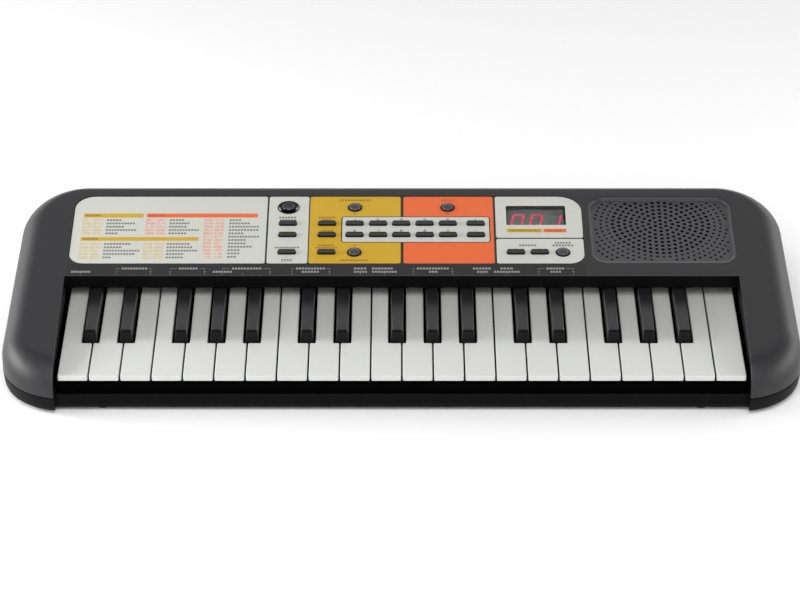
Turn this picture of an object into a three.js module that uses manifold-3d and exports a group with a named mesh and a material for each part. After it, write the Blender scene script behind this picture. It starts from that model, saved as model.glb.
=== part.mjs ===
// A toy electronic keyboard with 37 small keys, as an assembly of separate pieces.
// Millimetres, +X right, +Y to the back, +Z up. The origin is on the table under the middle of the case.
// "From the front" means a distance in Y behind the front edge of the case.
// Deck coordinates are x, up (along the sloping deck, from a line just in front of its front edge) and out.

import * as THREE from 'three';
import { mergeVertices } from 'three/addons/utils/BufferGeometryUtils.js';
import Module from 'manifold-3d';

const wasm = await Module();
wasm.setup();

// ---- Overall size ----
const WIDTH = 506;
const DEPTH = 201;
const HEIGHT = 54; // table to the highest line of the deck
const DECK_TILT = THREE.MathUtils.degToRad(6.3);
const CORNER_RADIUS = 42; // corners of the case, seen from above
const REAR_TAPER = 2.6; // how much nearer the middle each side is at the back than behind the front corner

// ---- Clearances ----
const GAP = 0.3; // between pieces that touch
const SLIP = 0.4; // around anything that moves in a hole
const PASS = 1; // how far a cutting shape runs past what it cuts

// ---- Case shells ----
const FOOT_LIFT = 3; // underside of the case above the table
const SEAM_HEIGHT = 13; // where the top and bottom shells meet
const WALL = 2.4;
const FLOOR = 2.2;
const DECK_WALL = 3;
const SIDE_ROUND = 14; // how far the rounded shoulder reaches in from each side
const FRONT_ROUND = 17;
const BACK_ROUND = 10;
const SHOULDER_DROP = 16; // height of the rounded shoulder
const UNDERSIDE_INSET = 1.2;
const UNDERSIDE_STEPS = [[2, 0.5], [6, 0.2]]; // height above the underside, and inset there
const BOSS_RADIUS = 3.2;
const LIP_SETBACK = 6.4; // lip in front of the keys, from the front
const LIP_WALL = 2.4;
const LIP_TOP = 12.2;

// ---- Keys ----
const OCTAVES = 3;
const KEY_PITCH = 19.58; // one white key to the next
const KEY_GAP = 1;
const KEY_FRONT = 6; // from the front
const KEY_TOP = 26.4;
const KEY_THICKNESS = 3.6;
const KEY_SKIN = 1.5;
const KEY_SIDE_WALL = 1.2;
const KEY_EDGE = 0.5; // bevel along the top front edge of a white key
const HEAD_LENGTH = 38.5; // white key in front of the black ones
const NOTCH_WIDTH = 11.3; // room cut out of the white keys for a black one
const BLACK_WIDTH = 8.8;
const BLACK_TOP_FRONT_WIDTH = 6.65;
const BLACK_TOP_BACK_WIDTH = 7.7;
const BLACK_RISE = 7.2;
const BLACK_SETBACK = 39.8; // front of a black key behind the front of the white ones
const BLACK_NOSE = 2.8; // how far its front face leans back
const BLACK_BACK_DROP = 0.5;
const KEYBED_SIDE_ROOM = 2.1; // between the outer keys and the slot's walls
const KEY_PIVOT_BACK = 132; // from the front
const KEY_PIVOT_HEIGHT = 19.6;
const KNUCKLE_RADIUS = 2.2;
const KNUCKLE_WIDTH = 6;
const KEY_TAIL = 3; // key behind its pivot
const STEM_BACK = 92; // from the front
const STEM_FOOT = 15.6;
const STEM_SIZE = 4;
// Where each black key's middle sits in an octave, in key pitches from the left edge of C.
const BLACK_PLACES = [0.92, 2.07, 3.847, 4.998, 6.145];
const NOTE_NAMES = ['c', 'd', 'e', 'f', 'g', 'a', 'b'];
const SHARP_NAMES = ['c_sharp', 'd_sharp', 'f_sharp', 'g_sharp', 'a_sharp'];

// ---- Key slot and deck ----
const DECK_START = 96.2; // where deck coordinates start, from the front
const SLOT_BACK = 98; // back edge of the slot, from the front
const SKIRT_ROOM = 1; // between the black keys and the lower edge of the wall behind the slot

// ---- Key frame and contact board under the keys ----
const FRAME_FOOT = 9;
const FRAME_PLATE = 2;
const FRAME_FRONT = 14; // from the front
const FRAME_RAIL_WIDTH = 9;
const FRAME_STOP_HEIGHT = 15.3;
const FRAME_STOP_WIDTH = 2.5;
const FRAME_END_ROOM = 1.5;
const BOARD_THICKNESS = 1.6;
const CONTACT_BOARD_DEPTH = 32;

// ---- Battery bay for four AA cells, and its sliding cover ----
const BAY_WIDTH = 60;
const BAY_LENGTH = 57;
const BAY_DEPTH = 16;
const BAY_WALL = 1.8;
const BAY_CENTRE = 0;
const BAY_BEHIND_FRAME = 1.2; // room between the key frame and the bay
const COVER_MARGIN = 3; // cover beyond the bay on each side
const COVER_THICKNESS = 2;
const TONGUE_REACH = 1.2; // rails of the cover, held in grooves of the floor
const TONGUE_HEIGHT = 0.8;
const COVER_RIDGES = 4;
const RIDGE_PITCH = 3;
const RIDGE_WIDTH = 1;
const RIDGE_DEPTH = 0.5;
const RIDGE_LENGTH = 24;

// ---- Control panel, in deck coordinates ----
const PANEL_LEFT = -216.5;
const PANEL_WIDTH = 335.5;
const PANEL_FRONT = 15;
const PANEL_LENGTH = 73.6;
const PANEL_CORNERS = [10, 10, 16, 13.5]; // front left, front right, back right, back left
const PANEL_THICKNESS = 1.2;
const PANEL_RECESS = 0.4;
const PANEL_LEDGE = 4; // panel edge that rests on the case

// ---- Buttons, in deck coordinates ----
const BAR_WIDTH = 11.4;
const BAR_LENGTH = 4.2;
const BUTTON_RISE = 1.5; // above the panel
const ROUND_RADIUS = 4.5;
const POWER_RADIUS = 4.2;
const POWER_CUP_RADIUS = 7.3;
const POWER_CUP_DEPTH = 0.7;
const BUTTON_TRAVEL = 1;
const FLANGE_REACH = 1.2;
const FLANGE_THICKNESS = 1.2;
const ROW_FRONT = 27.05;
const ROW_LOW = 45.8;
const ROW_HIGH = 58.25;
const ROW_BACK = 76.15;
const PAD_COLUMNS = [-31, -15.6, -0.4, 15, 30.3, 48.6];
const POWER_X = -75;
const TEMPO_X = -49.2;
const STYLE_X = PAD_COLUMNS[0];
const VOICE_X = PAD_COLUMNS[4];
const OCTAVE_COLUMNS = [74.3, 89.8];
const KIT_X = 104.9;

// ---- Display and main board, in deck coordinates ----
const WINDOW_LEFT = 69;
const WINDOW_WIDTH = 39;
const WINDOW_FRONT = 57.05;
const WINDOW_LENGTH = 20.9;
const WINDOW_FLANGE = 1.6;
const WINDOW_FLANGE_THICKNESS = 1;
const DIGIT_DEPTH = 4.2; // face of the digits below the face of the window
const MODULE_WIDTH = 37.6;
const MODULE_LENGTH = 19;
const MODULE_HEIGHT = 8;
const MAIN_BOARD_MARGIN = 9; // main board inside the panel's outline

// ---- Speaker grille and speaker, in deck coordinates ----
const GRILLE_LEFT = 124;
const GRILLE_WIDTH = 93;
const GRILLE_FRONT = 16;
const GRILLE_LENGTH = 71.2;
const GRILLE_RADIUS = 10;
const GRILLE_RECESS = 2.2;
const GRILLE_SLOPE = 1.6; // run of the dish's sloping edge
const GRILLE_FLOOR = 1.3;
const GRILLE_RIM = 2.5; // thicker wall around the dish
const VENT_PITCH = 8;
const VENT_RADIUS = 1.7;
const VENT_EDGE = 4; // plain floor left around the vents
const SPEAKER_RADIUS = 33;
const SPEAKER_RIM = 1.6;
const SPEAKER_CONE_DEPTH = 8;
const MAGNET_RADIUS = 16;
const MAGNET_HEIGHT = 6;

// ---- Feet ----
const FOOT_X = 188;
const FOOT_FRONT = 14.6; // from the front
const FOOT_BACK = 19; // from the back
const FOOT_RADIUS = 5.5;
const FOOT_STEM_RADIUS = 2;
const FOOT_STEM_LENGTH = 3.4;

// ---- Values worked out from the ones above ----
const fromFront = (distance) => distance - DEPTH / 2;
const DECK_SLOPE = Math.tan(DECK_TILT);
const CROWN_Y = DEPTH / 2 - BACK_ROUND;
const deckHeight = (y) => HEIGHT - (CROWN_Y - y) * DECK_SLOPE;
const TAPER_START = CORNER_RADIUS - DEPTH / 2;
const taper = (y) => (REAR_TAPER * Math.max(0, y - TAPER_START)) / (DEPTH / 2 - TAPER_START);
const WHITE_COUNT = OCTAVES * 7 + 1;
const KEYS_LEFT = (-WHITE_COUNT * KEY_PITCH) / 2;
const SLOT_HALF = -KEYS_LEFT + KEYBED_SIDE_ROOM;
// The front corners have already begun to turn where the slot's walls cut them: this is how far.
const CORNER_TURN = Math.max(0, SLOT_HALF - WIDTH / 2 + CORNER_RADIUS);
const CHEEK_LEAN = CORNER_RADIUS - Math.sqrt(CORNER_RADIUS ** 2 - CORNER_TURN ** 2);
const SKIRT_FOOT = KEY_TOP + BLACK_RISE + SKIRT_ROOM;
const FLOOR_TOP = FOOT_LIFT + FLOOR;
const FRAME_TOP = FRAME_FOOT + FRAME_PLATE;
const FRAME_BACK = KEY_PIVOT_BACK + FRAME_RAIL_WIDTH / 2;
const BAY_FRONT = FRAME_BACK + BAY_BEHIND_FRAME + BAY_WALL;
const PANEL_FACE = -PANEL_RECESS;
const PANEL_BACK = PANEL_FACE - PANEL_THICKNESS;
const WINDOW_X = WINDOW_LEFT + WINDOW_WIDTH / 2;
const WINDOW_UP = WINDOW_FRONT + WINDOW_LENGTH / 2;
const MODULE_FOOT = PANEL_FACE - DIGIT_DEPTH - MODULE_HEIGHT;
const MAIN_BOARD_TOP = MODULE_FOOT - GAP;
const GRILLE_X = GRILLE_LEFT + GRILLE_WIDTH / 2;
const GRILLE_UP = GRILLE_FRONT + GRILLE_LENGTH / 2;
const SPEAKER_TOP = -GRILLE_RECESS - GRILLE_FLOOR - GAP;

// ---- Solids ----

// A closed mesh as a solid that can be joined and cut.
function solid(geometry) {
  const bare = geometry.clone();
  bare.deleteAttribute('normal');
  bare.deleteAttribute('uv');
  const merged = mergeVertices(bare, 1e-4);
  return new wasm.Manifold(new wasm.Mesh({
    numProp: 3,
    vertProperties: Float32Array.from(merged.attributes.position.array),
    triVerts: Uint32Array.from(merged.index.array),
  }));
}

function geometryOf(body) {
  const mesh = body.getMesh();
  const geometry = new THREE.BufferGeometry();
  geometry.setAttribute('position', new THREE.BufferAttribute(Float32Array.from(mesh.vertProperties), 3));
  geometry.setIndex(new THREE.BufferAttribute(Uint32Array.from(mesh.triVerts), 1));
  geometry.computeVertexNormals();
  return geometry;
}

const join = (bodies) => bodies.reduce((sum, body) => sum.add(body));
const cut = (body, cutters) => cutters.reduce((left, cutter) => left.subtract(cutter), body);

// A box between two corners.
function box([x0, y0, z0], [x1, y1, z1]) {
  const geometry = new THREE.BoxGeometry(x1 - x0, y1 - y0, z1 - z0);
  geometry.translate((x0 + x1) / 2, (y0 + y1) / 2, (z0 + z1) / 2);
  return solid(geometry);
}

// An upright cylinder or cone.
function post(x, y, z0, z1, radius, sides = 16, topRadius = radius) {
  const geometry = new THREE.CylinderGeometry(topRadius, radius, z1 - z0, sides);
  geometry.rotateX(Math.PI / 2);
  geometry.translate(x, y, (z0 + z1) / 2);
  return solid(geometry);
}

// A flat outline raised from z0 to z1.
function raise(shape, z0, z1, curveSegments = 4) {
  const geometry = new THREE.ExtrudeGeometry(shape, { depth: z1 - z0, bevelEnabled: false, curveSegments });
  geometry.translate(0, 0, z0);
  return solid(geometry);
}

// A rectangle from its lower left corner, with a radius for each corner, anticlockwise from there.
function roundedRectangle(x, y, width, length, radii) {
  const shape = new THREE.Shape();
  const corners = [[x, y], [x + width, y], [x + width, y + length], [x, y + length]];
  const turns = [[1, 1], [-1, 1], [-1, -1], [1, -1]];
  corners.forEach(([cx, cy], i) => {
    const start = Math.PI + (i * Math.PI) / 2;
    const centreX = cx + turns[i][0] * radii[i];
    const centreY = cy + turns[i][1] * radii[i];
    shape.absarc(centreX, centreY, radii[i], start, start + Math.PI / 2);
  });
  return shape;
}

const evenly = (radius) => [radius, radius, radius, radius];

// A stack of closed rings with the same number of points, as one solid.
function loft(rings) {
  const count = rings[0].length;
  const points = rings.flat();
  const faces = [];
  rings.slice(1).forEach((_, level) => {
    for (let i = 0; i < count; i += 1) {
      const next = (i + 1) % count;
      const low = level * count;
      const high = low + count;
      faces.push(low + i, low + next, high + next, low + i, high + next, high + i);
    }
  });
  const top = (rings.length - 1) * count;
  for (let i = 1; i < count - 1; i += 1) {
    faces.push(0, i + 1, i);
    faces.push(top, top + i, top + i + 1);
  }
  const geometry = new THREE.BufferGeometry();
  geometry.setAttribute('position', new THREE.BufferAttribute(new Float32Array(points.flat()), 3));
  geometry.setIndex(faces);
  return solid(geometry);
}

// The outline of the case at one level, pulled in from the sides, front and back.
function caseRing(side, front, back, heightAt, cornerSteps) {
  const ring = [];
  const quarters = [[-1, -1], [1, -1], [1, 1], [-1, 1]];
  quarters.forEach(([sx, sy], quarter) => {
    const reachX = CORNER_RADIUS - side;
    const reachY = CORNER_RADIUS - (sy < 0 ? front : back);
    for (let step = 0; step <= cornerSteps; step += 1) {
      const angle = Math.PI + ((quarter + step / cornerSteps) * Math.PI) / 2;
      const centre = sy * (DEPTH / 2 - CORNER_RADIUS) - (sy < 0 ? CHEEK_LEAN : 0);
      const y = centre + reachY * Math.sin(angle);
      const middle = WIDTH / 2 - CORNER_RADIUS - taper(y);
      const x = sx * middle + reachX * Math.cos(angle);
      ring.push([x, y, heightAt(y)]);
    }
  });
  return ring;
}

// The top shell's form, drawn in by a wall thickness, with its rounded shoulder.
function topForm(wall, deckWall, foot, cornerSteps, shoulderSteps) {
  const flat = (z) => () => z;
  const rings = [caseRing(wall, wall, wall, flat(foot), cornerSteps)];
  for (let step = 0; step <= shoulderSteps; step += 1) {
    const turn = (step / shoulderSteps) * (Math.PI / 2);
    const inward = 1 - Math.cos(turn);
    const drop = (SHOULDER_DROP - deckWall) * (1 - Math.sin(turn));
    const ring = caseRing(
      wall + (SIDE_ROUND - wall) * inward,
      wall + (FRONT_ROUND - wall) * inward,
      wall + (BACK_ROUND - wall) * inward,
      (y) => deckHeight(y) - deckWall - drop,
      cornerSteps,
    );
    rings.push(ring);
  }
  return loft(rings);
}

// Where deck coordinates lie in the case.
const deckFrame = new THREE.Matrix4()
  .makeTranslation(0, fromFront(DECK_START), deckHeight(fromFront(DECK_START)))
  .multiply(new THREE.Matrix4().makeRotationX(DECK_TILT));
const onDeck = (body) => {
  const geometry = geometryOf(body);
  geometry.applyMatrix4(deckFrame);
  return solid(geometry);
};

// ---- Materials ----
const plastic = (color, roughness) => new THREE.MeshStandardMaterial({ color, roughness, metalness: 0 });
const BODY_PLASTIC = plastic(0x3b3b3d, 0.62);
const PANEL_PRINT = plastic(0xd2d3c9, 0.45);
const WHITE_PLASTIC = plastic(0xdadbd8, 0.3);
const BLACK_PLASTIC = plastic(0x303032, 0.25);
const BUTTON_RUBBER = plastic(0x2e2e31, 0.5);
const FOOT_RUBBER = plastic(0x1c1c1c, 0.8);
const FRAME_PLASTIC = plastic(0x26262a, 0.6);
const WINDOW_PLASTIC = plastic(0x1a2020, 0.12);
const MODULE_PLASTIC = plastic(0x202324, 0.4);
const BOARD_GREEN = plastic(0x2c6b42, 0.5);
const SPEAKER_METAL = new THREE.MeshStandardMaterial({ color: 0x8c8c8c, roughness: 0.45, metalness: 0.8 });

const keyboard = new THREE.Group();
keyboard.name = 'toy_keyboard';
const deck = new THREE.Group();
deck.position.set(0, fromFront(DECK_START), deckHeight(fromFront(DECK_START)));
deck.rotation.x = DECK_TILT;
keyboard.add(deck);

function place(group, name, body, material) {
  const mesh = new THREE.Mesh(geometryOf(body), material);
  mesh.name = name;
  group.add(mesh);
}

// ---- Openings shared by the panel and what passes through it ----
const bar = (x, up, margin) => roundedRectangle(
  x - BAR_WIDTH / 2 - margin,
  up - BAR_LENGTH / 2 - margin,
  BAR_WIDTH + 2 * margin,
  BAR_LENGTH + 2 * margin,
  evenly(1),
);
const BAR_SETS = {
  volume_buttons: [ROW_FRONT, ROW_LOW, ROW_HIGH].map((up) => [POWER_X, up]),
  tempo_buttons: [ROW_FRONT, ROW_LOW, ROW_HIGH].map((up) => [TEMPO_X, up]),
  number_pad: PAD_COLUMNS.flatMap((x) => [[x, ROW_LOW], [x, ROW_HIGH]]),
  octave_buttons: OCTAVE_COLUMNS.map((x) => [x, ROW_FRONT]),
};
const ROUND_BUTTONS = {
  power_button: [POWER_X, ROW_BACK, POWER_RADIUS],
  style_button: [STYLE_X, ROW_BACK, ROUND_RADIUS],
  start_stop_button: [STYLE_X, ROW_FRONT, ROUND_RADIUS],
  voice_button: [VOICE_X, ROW_BACK, ROUND_RADIUS],
  drum_kit_button: [KIT_X, ROW_FRONT, ROUND_RADIUS],
};

// ---- Top shell ----
function topCase() {
  const outside = topForm(0, 0, SEAM_HEIGHT, 8, 5);
  const inside = topForm(WALL, DECK_WALL, SEAM_HEIGHT - PASS, 4, 3);
  const slotWalls = box(
    [-SLOT_HALF - WALL, fromFront(-PASS), 0],
    [SLOT_HALF + WALL, fromFront(SLOT_BACK) + WALL, HEIGHT + PASS],
  );
  const slot = box([-SLOT_HALF, fromFront(-PASS), 0], [SLOT_HALF, fromFront(SLOT_BACK), HEIGHT + PASS]);
  const underSkirt = box(
    [-SLOT_HALF, fromFront(SLOT_BACK) - PASS, 0],
    [SLOT_HALF, fromFront(SLOT_BACK) + WALL + PASS, SKIRT_FOOT],
  );
  const panelPocket = raise(
    roundedRectangle(
      PANEL_LEFT - GAP,
      PANEL_FRONT - GAP,
      PANEL_WIDTH + 2 * GAP,
      PANEL_LENGTH + 2 * GAP,
      PANEL_CORNERS,
    ),
    PANEL_BACK - GAP,
    PASS,
  );
  const panelOpening = raise(
    roundedRectangle(
      PANEL_LEFT + PANEL_LEDGE,
      PANEL_FRONT + PANEL_LEDGE,
      PANEL_WIDTH - 2 * PANEL_LEDGE,
      PANEL_LENGTH - 2 * PANEL_LEDGE,
      PANEL_CORNERS.map((radius) => radius - PANEL_LEDGE),
    ),
    -DECK_WALL - PASS,
    PASS,
  );
  const shell = cut(outside, [cut(inside, [slotWalls]), slot, underSkirt]);
  const withDish = join([shell, onDeck(grilleBacking())]);
  return cut(withDish, [panelPocket, panelOpening, grilleDish(), ...vents()].map(onDeck));
}

function grilleOutline(margin) {
  return roundedRectangle(
    GRILLE_LEFT - margin,
    GRILLE_FRONT - margin,
    GRILLE_WIDTH + 2 * margin,
    GRILLE_LENGTH + 2 * margin,
    evenly(GRILLE_RADIUS + margin),
  );
}

// The thicker wall that the speaker's dish is sunk into.
function grilleBacking() {
  return raise(grilleOutline(GRILLE_RIM), -GRILLE_RECESS - GRILLE_FLOOR, -DECK_WALL / 2);
}

// The dish: a rounded rectangle with sloping edges.
function grilleDish() {
  const ring = (margin, z) => grilleOutline(margin).getPoints(4).map((p) => [p.x, p.y, z]);
  return loft([ring(-GRILLE_SLOPE, -GRILLE_RECESS), ring(0, 0), ring(0, PASS)]);
}

// Square vents on rings around the middle of the dish, staggered from ring to ring.
function vents() {
  const found = [];
  const reachX = GRILLE_WIDTH / 2 - GRILLE_SLOPE - VENT_EDGE;
  const reachUp = GRILLE_LENGTH / 2 - GRILLE_SLOPE - VENT_EDGE;
  const rings = Math.ceil(Math.hypot(reachX, reachUp) / VENT_PITCH);
  for (let ring = 0; ring <= rings; ring += 1) {
    const count = Math.max(1, ring * 6);
    for (let i = 0; i < count; i += 1) {
      const angle = ((i + (ring % 2) / 2) / count) * 2 * Math.PI;
      const x = ring * VENT_PITCH * Math.cos(angle);
      const up = ring * VENT_PITCH * Math.sin(angle);
      if (Math.abs(x) <= reachX && Math.abs(up) <= reachUp) {
        const foot = -GRILLE_RECESS - GRILLE_FLOOR - PASS;
        found.push(post(GRILLE_X + x, GRILLE_UP + up, foot, 0, VENT_RADIUS, 4));
      }
    }
  }
  return found;
}

// ---- Bottom shell ----
function bottomForm(wall, foot, cornerSteps) {
  const levels = [
    [foot, UNDERSIDE_INSET],
    ...UNDERSIDE_STEPS.map(([rise, inset]) => [foot + rise, inset]),
    [SEAM_HEIGHT - GAP, 0],
  ];
  return loft(levels.map(([z, inset]) => caseRing(
    inset + wall,
    inset + wall,
    inset + wall,
    () => z,
    cornerSteps,
  )));
}

const feetPlaces = [
  ['foot_front_left', -FOOT_X, fromFront(FOOT_FRONT)],
  ['foot_front_right', FOOT_X, fromFront(FOOT_FRONT)],
  ['foot_rear_left', -FOOT_X, DEPTH / 2 - FOOT_BACK],
  ['foot_rear_right', FOOT_X, DEPTH / 2 - FOOT_BACK],
];

const bossPlaces = [-1, 0, 1].flatMap((side) => {
  const x = side * (SLOT_HALF - 40);
  return [[x, fromFront(FRAME_FRONT + 20)], [x, fromFront(KEY_PIVOT_BACK - 18)]];
});

function bottomCase() {
  const outside = bottomForm(0, FOOT_LIFT, 8);
  const room = loft([FLOOR_TOP, SEAM_HEIGHT + PASS].map((z) => caseRing(
    WALL + 0.3,
    WALL + 0.3,
    WALL + 0.3,
    () => z,
    4,
  )));
  const tray = outside.subtract(room);
  const half = SLOT_HALF - GAP;
  const step = box([-half, fromFront(-PASS), 0], [half, fromFront(LIP_SETBACK), HEIGHT]);
  const returnWalls = [-1, 1].map((side) => box(
    [side < 0 ? -half - WALL : half - PASS, fromFront(UNDERSIDE_INSET), FOOT_LIFT + FLOOR / 2],
    [side < 0 ? -half + PASS : half + WALL, fromFront(LIP_SETBACK + LIP_WALL), SEAM_HEIGHT - GAP],
  ));
  const lip = box(
    [-half, fromFront(LIP_SETBACK), FOOT_LIFT],
    [half, fromFront(LIP_SETBACK + LIP_WALL), LIP_TOP],
  );
  const bosses = bossPlaces.map(([x, y]) => post(x, y, FLOOR_TOP - PASS, FRAME_FOOT - GAP, BOSS_RADIUS, 8));
  const footHoles = feetPlaces.map(([, x, y]) => post(
    x,
    y,
    FOOT_LIFT - PASS,
    FLOOR_TOP + PASS,
    FOOT_STEM_RADIUS + GAP,
    8,
  ));
  const withWalls = join([tray, ...returnWalls]);
  const joined = join([cut(withWalls, [step]), lip, ...bosses, batteryBox()]);
  return cut(joined, [batteryBay(), coverChannel(), ...footHoles]);
}

function batteryBox() {
  return box(
    [BAY_CENTRE - BAY_WIDTH / 2 - BAY_WALL, fromFront(BAY_FRONT - BAY_WALL), FLOOR_TOP - PASS],
    [
      BAY_CENTRE + BAY_WIDTH / 2 + BAY_WALL,
      fromFront(BAY_FRONT + BAY_LENGTH + BAY_WALL),
      FLOOR_TOP + BAY_DEPTH + BAY_WALL,
    ],
  );
}

function batteryBay() {
  return box(
    [BAY_CENTRE - BAY_WIDTH / 2, fromFront(BAY_FRONT), FOOT_LIFT - PASS],
    [BAY_CENTRE + BAY_WIDTH / 2, fromFront(BAY_FRONT + BAY_LENGTH), FLOOR_TOP + BAY_DEPTH],
  );
}

// The cover's outline, run on to the back edge, with its rails. The channel is the same with room around it.
function coverShape(room, end) {
  const half = BAY_WIDTH / 2 + COVER_MARGIN;
  const front = fromFront(BAY_FRONT - COVER_MARGIN / 2);
  const railFoot = FOOT_LIFT + (COVER_THICKNESS - TONGUE_HEIGHT) / 2;
  return join([
    box(
      [BAY_CENTRE - half - room, front - room, FOOT_LIFT - (room > 0 ? PASS : 0)],
      [BAY_CENTRE + half + room, end, FOOT_LIFT + COVER_THICKNESS + room],
    ),
    box(
      [BAY_CENTRE - half - TONGUE_REACH - room, front - room, railFoot - room],
      [BAY_CENTRE + half + TONGUE_REACH + room, end, railFoot + TONGUE_HEIGHT + room],
    ),
  ]);
}

const coverChannel = () => coverShape(GAP, DEPTH / 2 + PASS);

function batteryCover() {
  const end = DEPTH / 2 - UNDERSIDE_INSET - GAP;
  const ridges = [];
  for (let i = 0; i < COVER_RIDGES; i += 1) {
    const y = end - 10 - i * RIDGE_PITCH;
    ridges.push(box(
      [BAY_CENTRE - RIDGE_LENGTH / 2, y - RIDGE_WIDTH / 2, FOOT_LIFT - PASS],
      [BAY_CENTRE + RIDGE_LENGTH / 2, y + RIDGE_WIDTH / 2, FOOT_LIFT + RIDGE_DEPTH],
    ));
  }
  return cut(coverShape(0, end), ridges);
}

function foot(x, y) {
  return join([
    post(x, y, 0, FOOT_LIFT - GAP, FOOT_RADIUS - 0.8, 12, FOOT_RADIUS),
    post(x, y, FOOT_LIFT / 2, FOOT_LIFT + FOOT_STEM_LENGTH, FOOT_STEM_RADIUS, 8),
  ]);
}

// ---- Control panel ----
function controlPanel() {
  const plate = raise(
    roundedRectangle(PANEL_LEFT, PANEL_FRONT, PANEL_WIDTH, PANEL_LENGTH, PANEL_CORNERS),
    PANEL_BACK,
    PANEL_FACE,
  );
  const low = PANEL_BACK - PASS;
  const high = PANEL_FACE + PASS;
  const barHoles = Object.values(BAR_SETS).flat().map(([x, up]) => raise(bar(x, up, SLIP), low, high, 1));
  const roundHoles = Object.values(ROUND_BUTTONS).map(
    ([x, up, radius]) => post(x, up, low, high, radius + SLIP),
  );
  const windowHole = raise(
    roundedRectangle(
      WINDOW_LEFT - GAP,
      WINDOW_FRONT - GAP,
      WINDOW_WIDTH + 2 * GAP,
      WINDOW_LENGTH + 2 * GAP,
      evenly(0.8),
    ),
    low,
    high,
    1,
  );
  const powerCup = post(
    POWER_X,
    ROW_BACK,
    PANEL_FACE - POWER_CUP_DEPTH,
    PANEL_FACE + 0.01,
    POWER_RADIUS + SLIP,
    20,
    POWER_CUP_RADIUS,
  );
  return cut(plate, [...barHoles, ...roundHoles, windowHole, powerCup]);
}

// ---- Buttons: caps through the panel, a flange under it, and stems down to the main board ----
const FLANGE_TOP = PANEL_BACK - GAP;
const FLANGE_FOOT = FLANGE_TOP - FLANGE_THICKNESS;
const STEM_END = MAIN_BOARD_TOP + BUTTON_TRAVEL + SLIP;

function barUnit(places) {
  const caps = places.map(([x, up]) => raise(bar(x, up, 0), FLANGE_FOOT, PANEL_FACE + BUTTON_RISE, 1));
  const xs = places.map(([x]) => x);
  const ups = places.map(([, up]) => up);
  const reachX = BAR_WIDTH / 2 + FLANGE_REACH;
  const reachUp = BAR_LENGTH / 2 + FLANGE_REACH;
  const web = box(
    [Math.min(...xs) - reachX, Math.min(...ups) - reachUp, FLANGE_FOOT],
    [Math.max(...xs) + reachX, Math.max(...ups) + reachUp, FLANGE_TOP],
  );
  const stems = places.map(([x, up]) => box(
    [x - BAR_LENGTH / 2, up - BAR_LENGTH / 2, STEM_END],
    [x + BAR_LENGTH / 2, up + BAR_LENGTH / 2, FLANGE_TOP],
  ));
  return join([web, ...caps, ...stems]);
}

function roundButton([x, up, radius]) {
  return join([
    post(x, up, FLANGE_FOOT, PANEL_FACE + BUTTON_RISE - 0.6, radius),
    post(x, up, PANEL_FACE + BUTTON_RISE - 0.6, PANEL_FACE + BUTTON_RISE, radius, 16, radius * 0.75),
    post(x, up, FLANGE_FOOT, FLANGE_TOP, radius + FLANGE_REACH),
    post(x, up, STEM_END, FLANGE_FOOT + 0.1, radius / 2, 8),
  ]);
}

// ---- Display ----
function displayWindow() {
  const pane = box(
    [WINDOW_LEFT, WINDOW_FRONT, PANEL_BACK - GAP - WINDOW_FLANGE_THICKNESS],
    [WINDOW_LEFT + WINDOW_WIDTH, WINDOW_FRONT + WINDOW_LENGTH, PANEL_FACE],
  );
  const flange = box(
    [WINDOW_LEFT - WINDOW_FLANGE, WINDOW_FRONT - WINDOW_FLANGE, PANEL_BACK - GAP - WINDOW_FLANGE_THICKNESS],
    [
      WINDOW_LEFT + WINDOW_WIDTH + WINDOW_FLANGE,
      WINDOW_FRONT + WINDOW_LENGTH + WINDOW_FLANGE,
      PANEL_BACK - GAP,
    ],
  );
  return pane.add(flange);
}

const displayModule = () => box(
  [WINDOW_X - MODULE_WIDTH / 2, WINDOW_UP - MODULE_LENGTH / 2, MODULE_FOOT],
  [WINDOW_X + MODULE_WIDTH / 2, WINDOW_UP + MODULE_LENGTH / 2, MODULE_FOOT + MODULE_HEIGHT],
);

const mainBoard = () => box(
  [PANEL_LEFT + MAIN_BOARD_MARGIN, PANEL_FRONT + MAIN_BOARD_MARGIN, MAIN_BOARD_TOP - BOARD_THICKNESS],
  [
    PANEL_LEFT + PANEL_WIDTH - MAIN_BOARD_MARGIN,
    PANEL_FRONT + PANEL_LENGTH - MAIN_BOARD_MARGIN,
    MAIN_BOARD_TOP,
  ],
);

// ---- Speaker: rim, cone basket and magnet, as one turned solid ----
function speaker() {
  const basketFoot = SPEAKER_TOP - SPEAKER_RIM - SPEAKER_CONE_DEPTH;
  const profile = [
    [0, basketFoot - MAGNET_HEIGHT],
    [MAGNET_RADIUS, basketFoot - MAGNET_HEIGHT],
    [MAGNET_RADIUS, basketFoot],
    [SPEAKER_RADIUS - 3, SPEAKER_TOP - SPEAKER_RIM],
    [SPEAKER_RADIUS, SPEAKER_TOP - SPEAKER_RIM],
    [SPEAKER_RADIUS, SPEAKER_TOP],
    [SPEAKER_RADIUS - 3, SPEAKER_TOP],
    [MAGNET_RADIUS / 2, basketFoot + 1.5],
    [0, basketFoot + 3],
  ].map(([radius, height]) => new THREE.Vector2(radius, height));
  const geometry = new THREE.LatheGeometry(profile, 24);
  geometry.rotateX(Math.PI / 2);
  geometry.translate(GRILLE_X, GRILLE_UP, 0);
  return solid(geometry);
}

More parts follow.
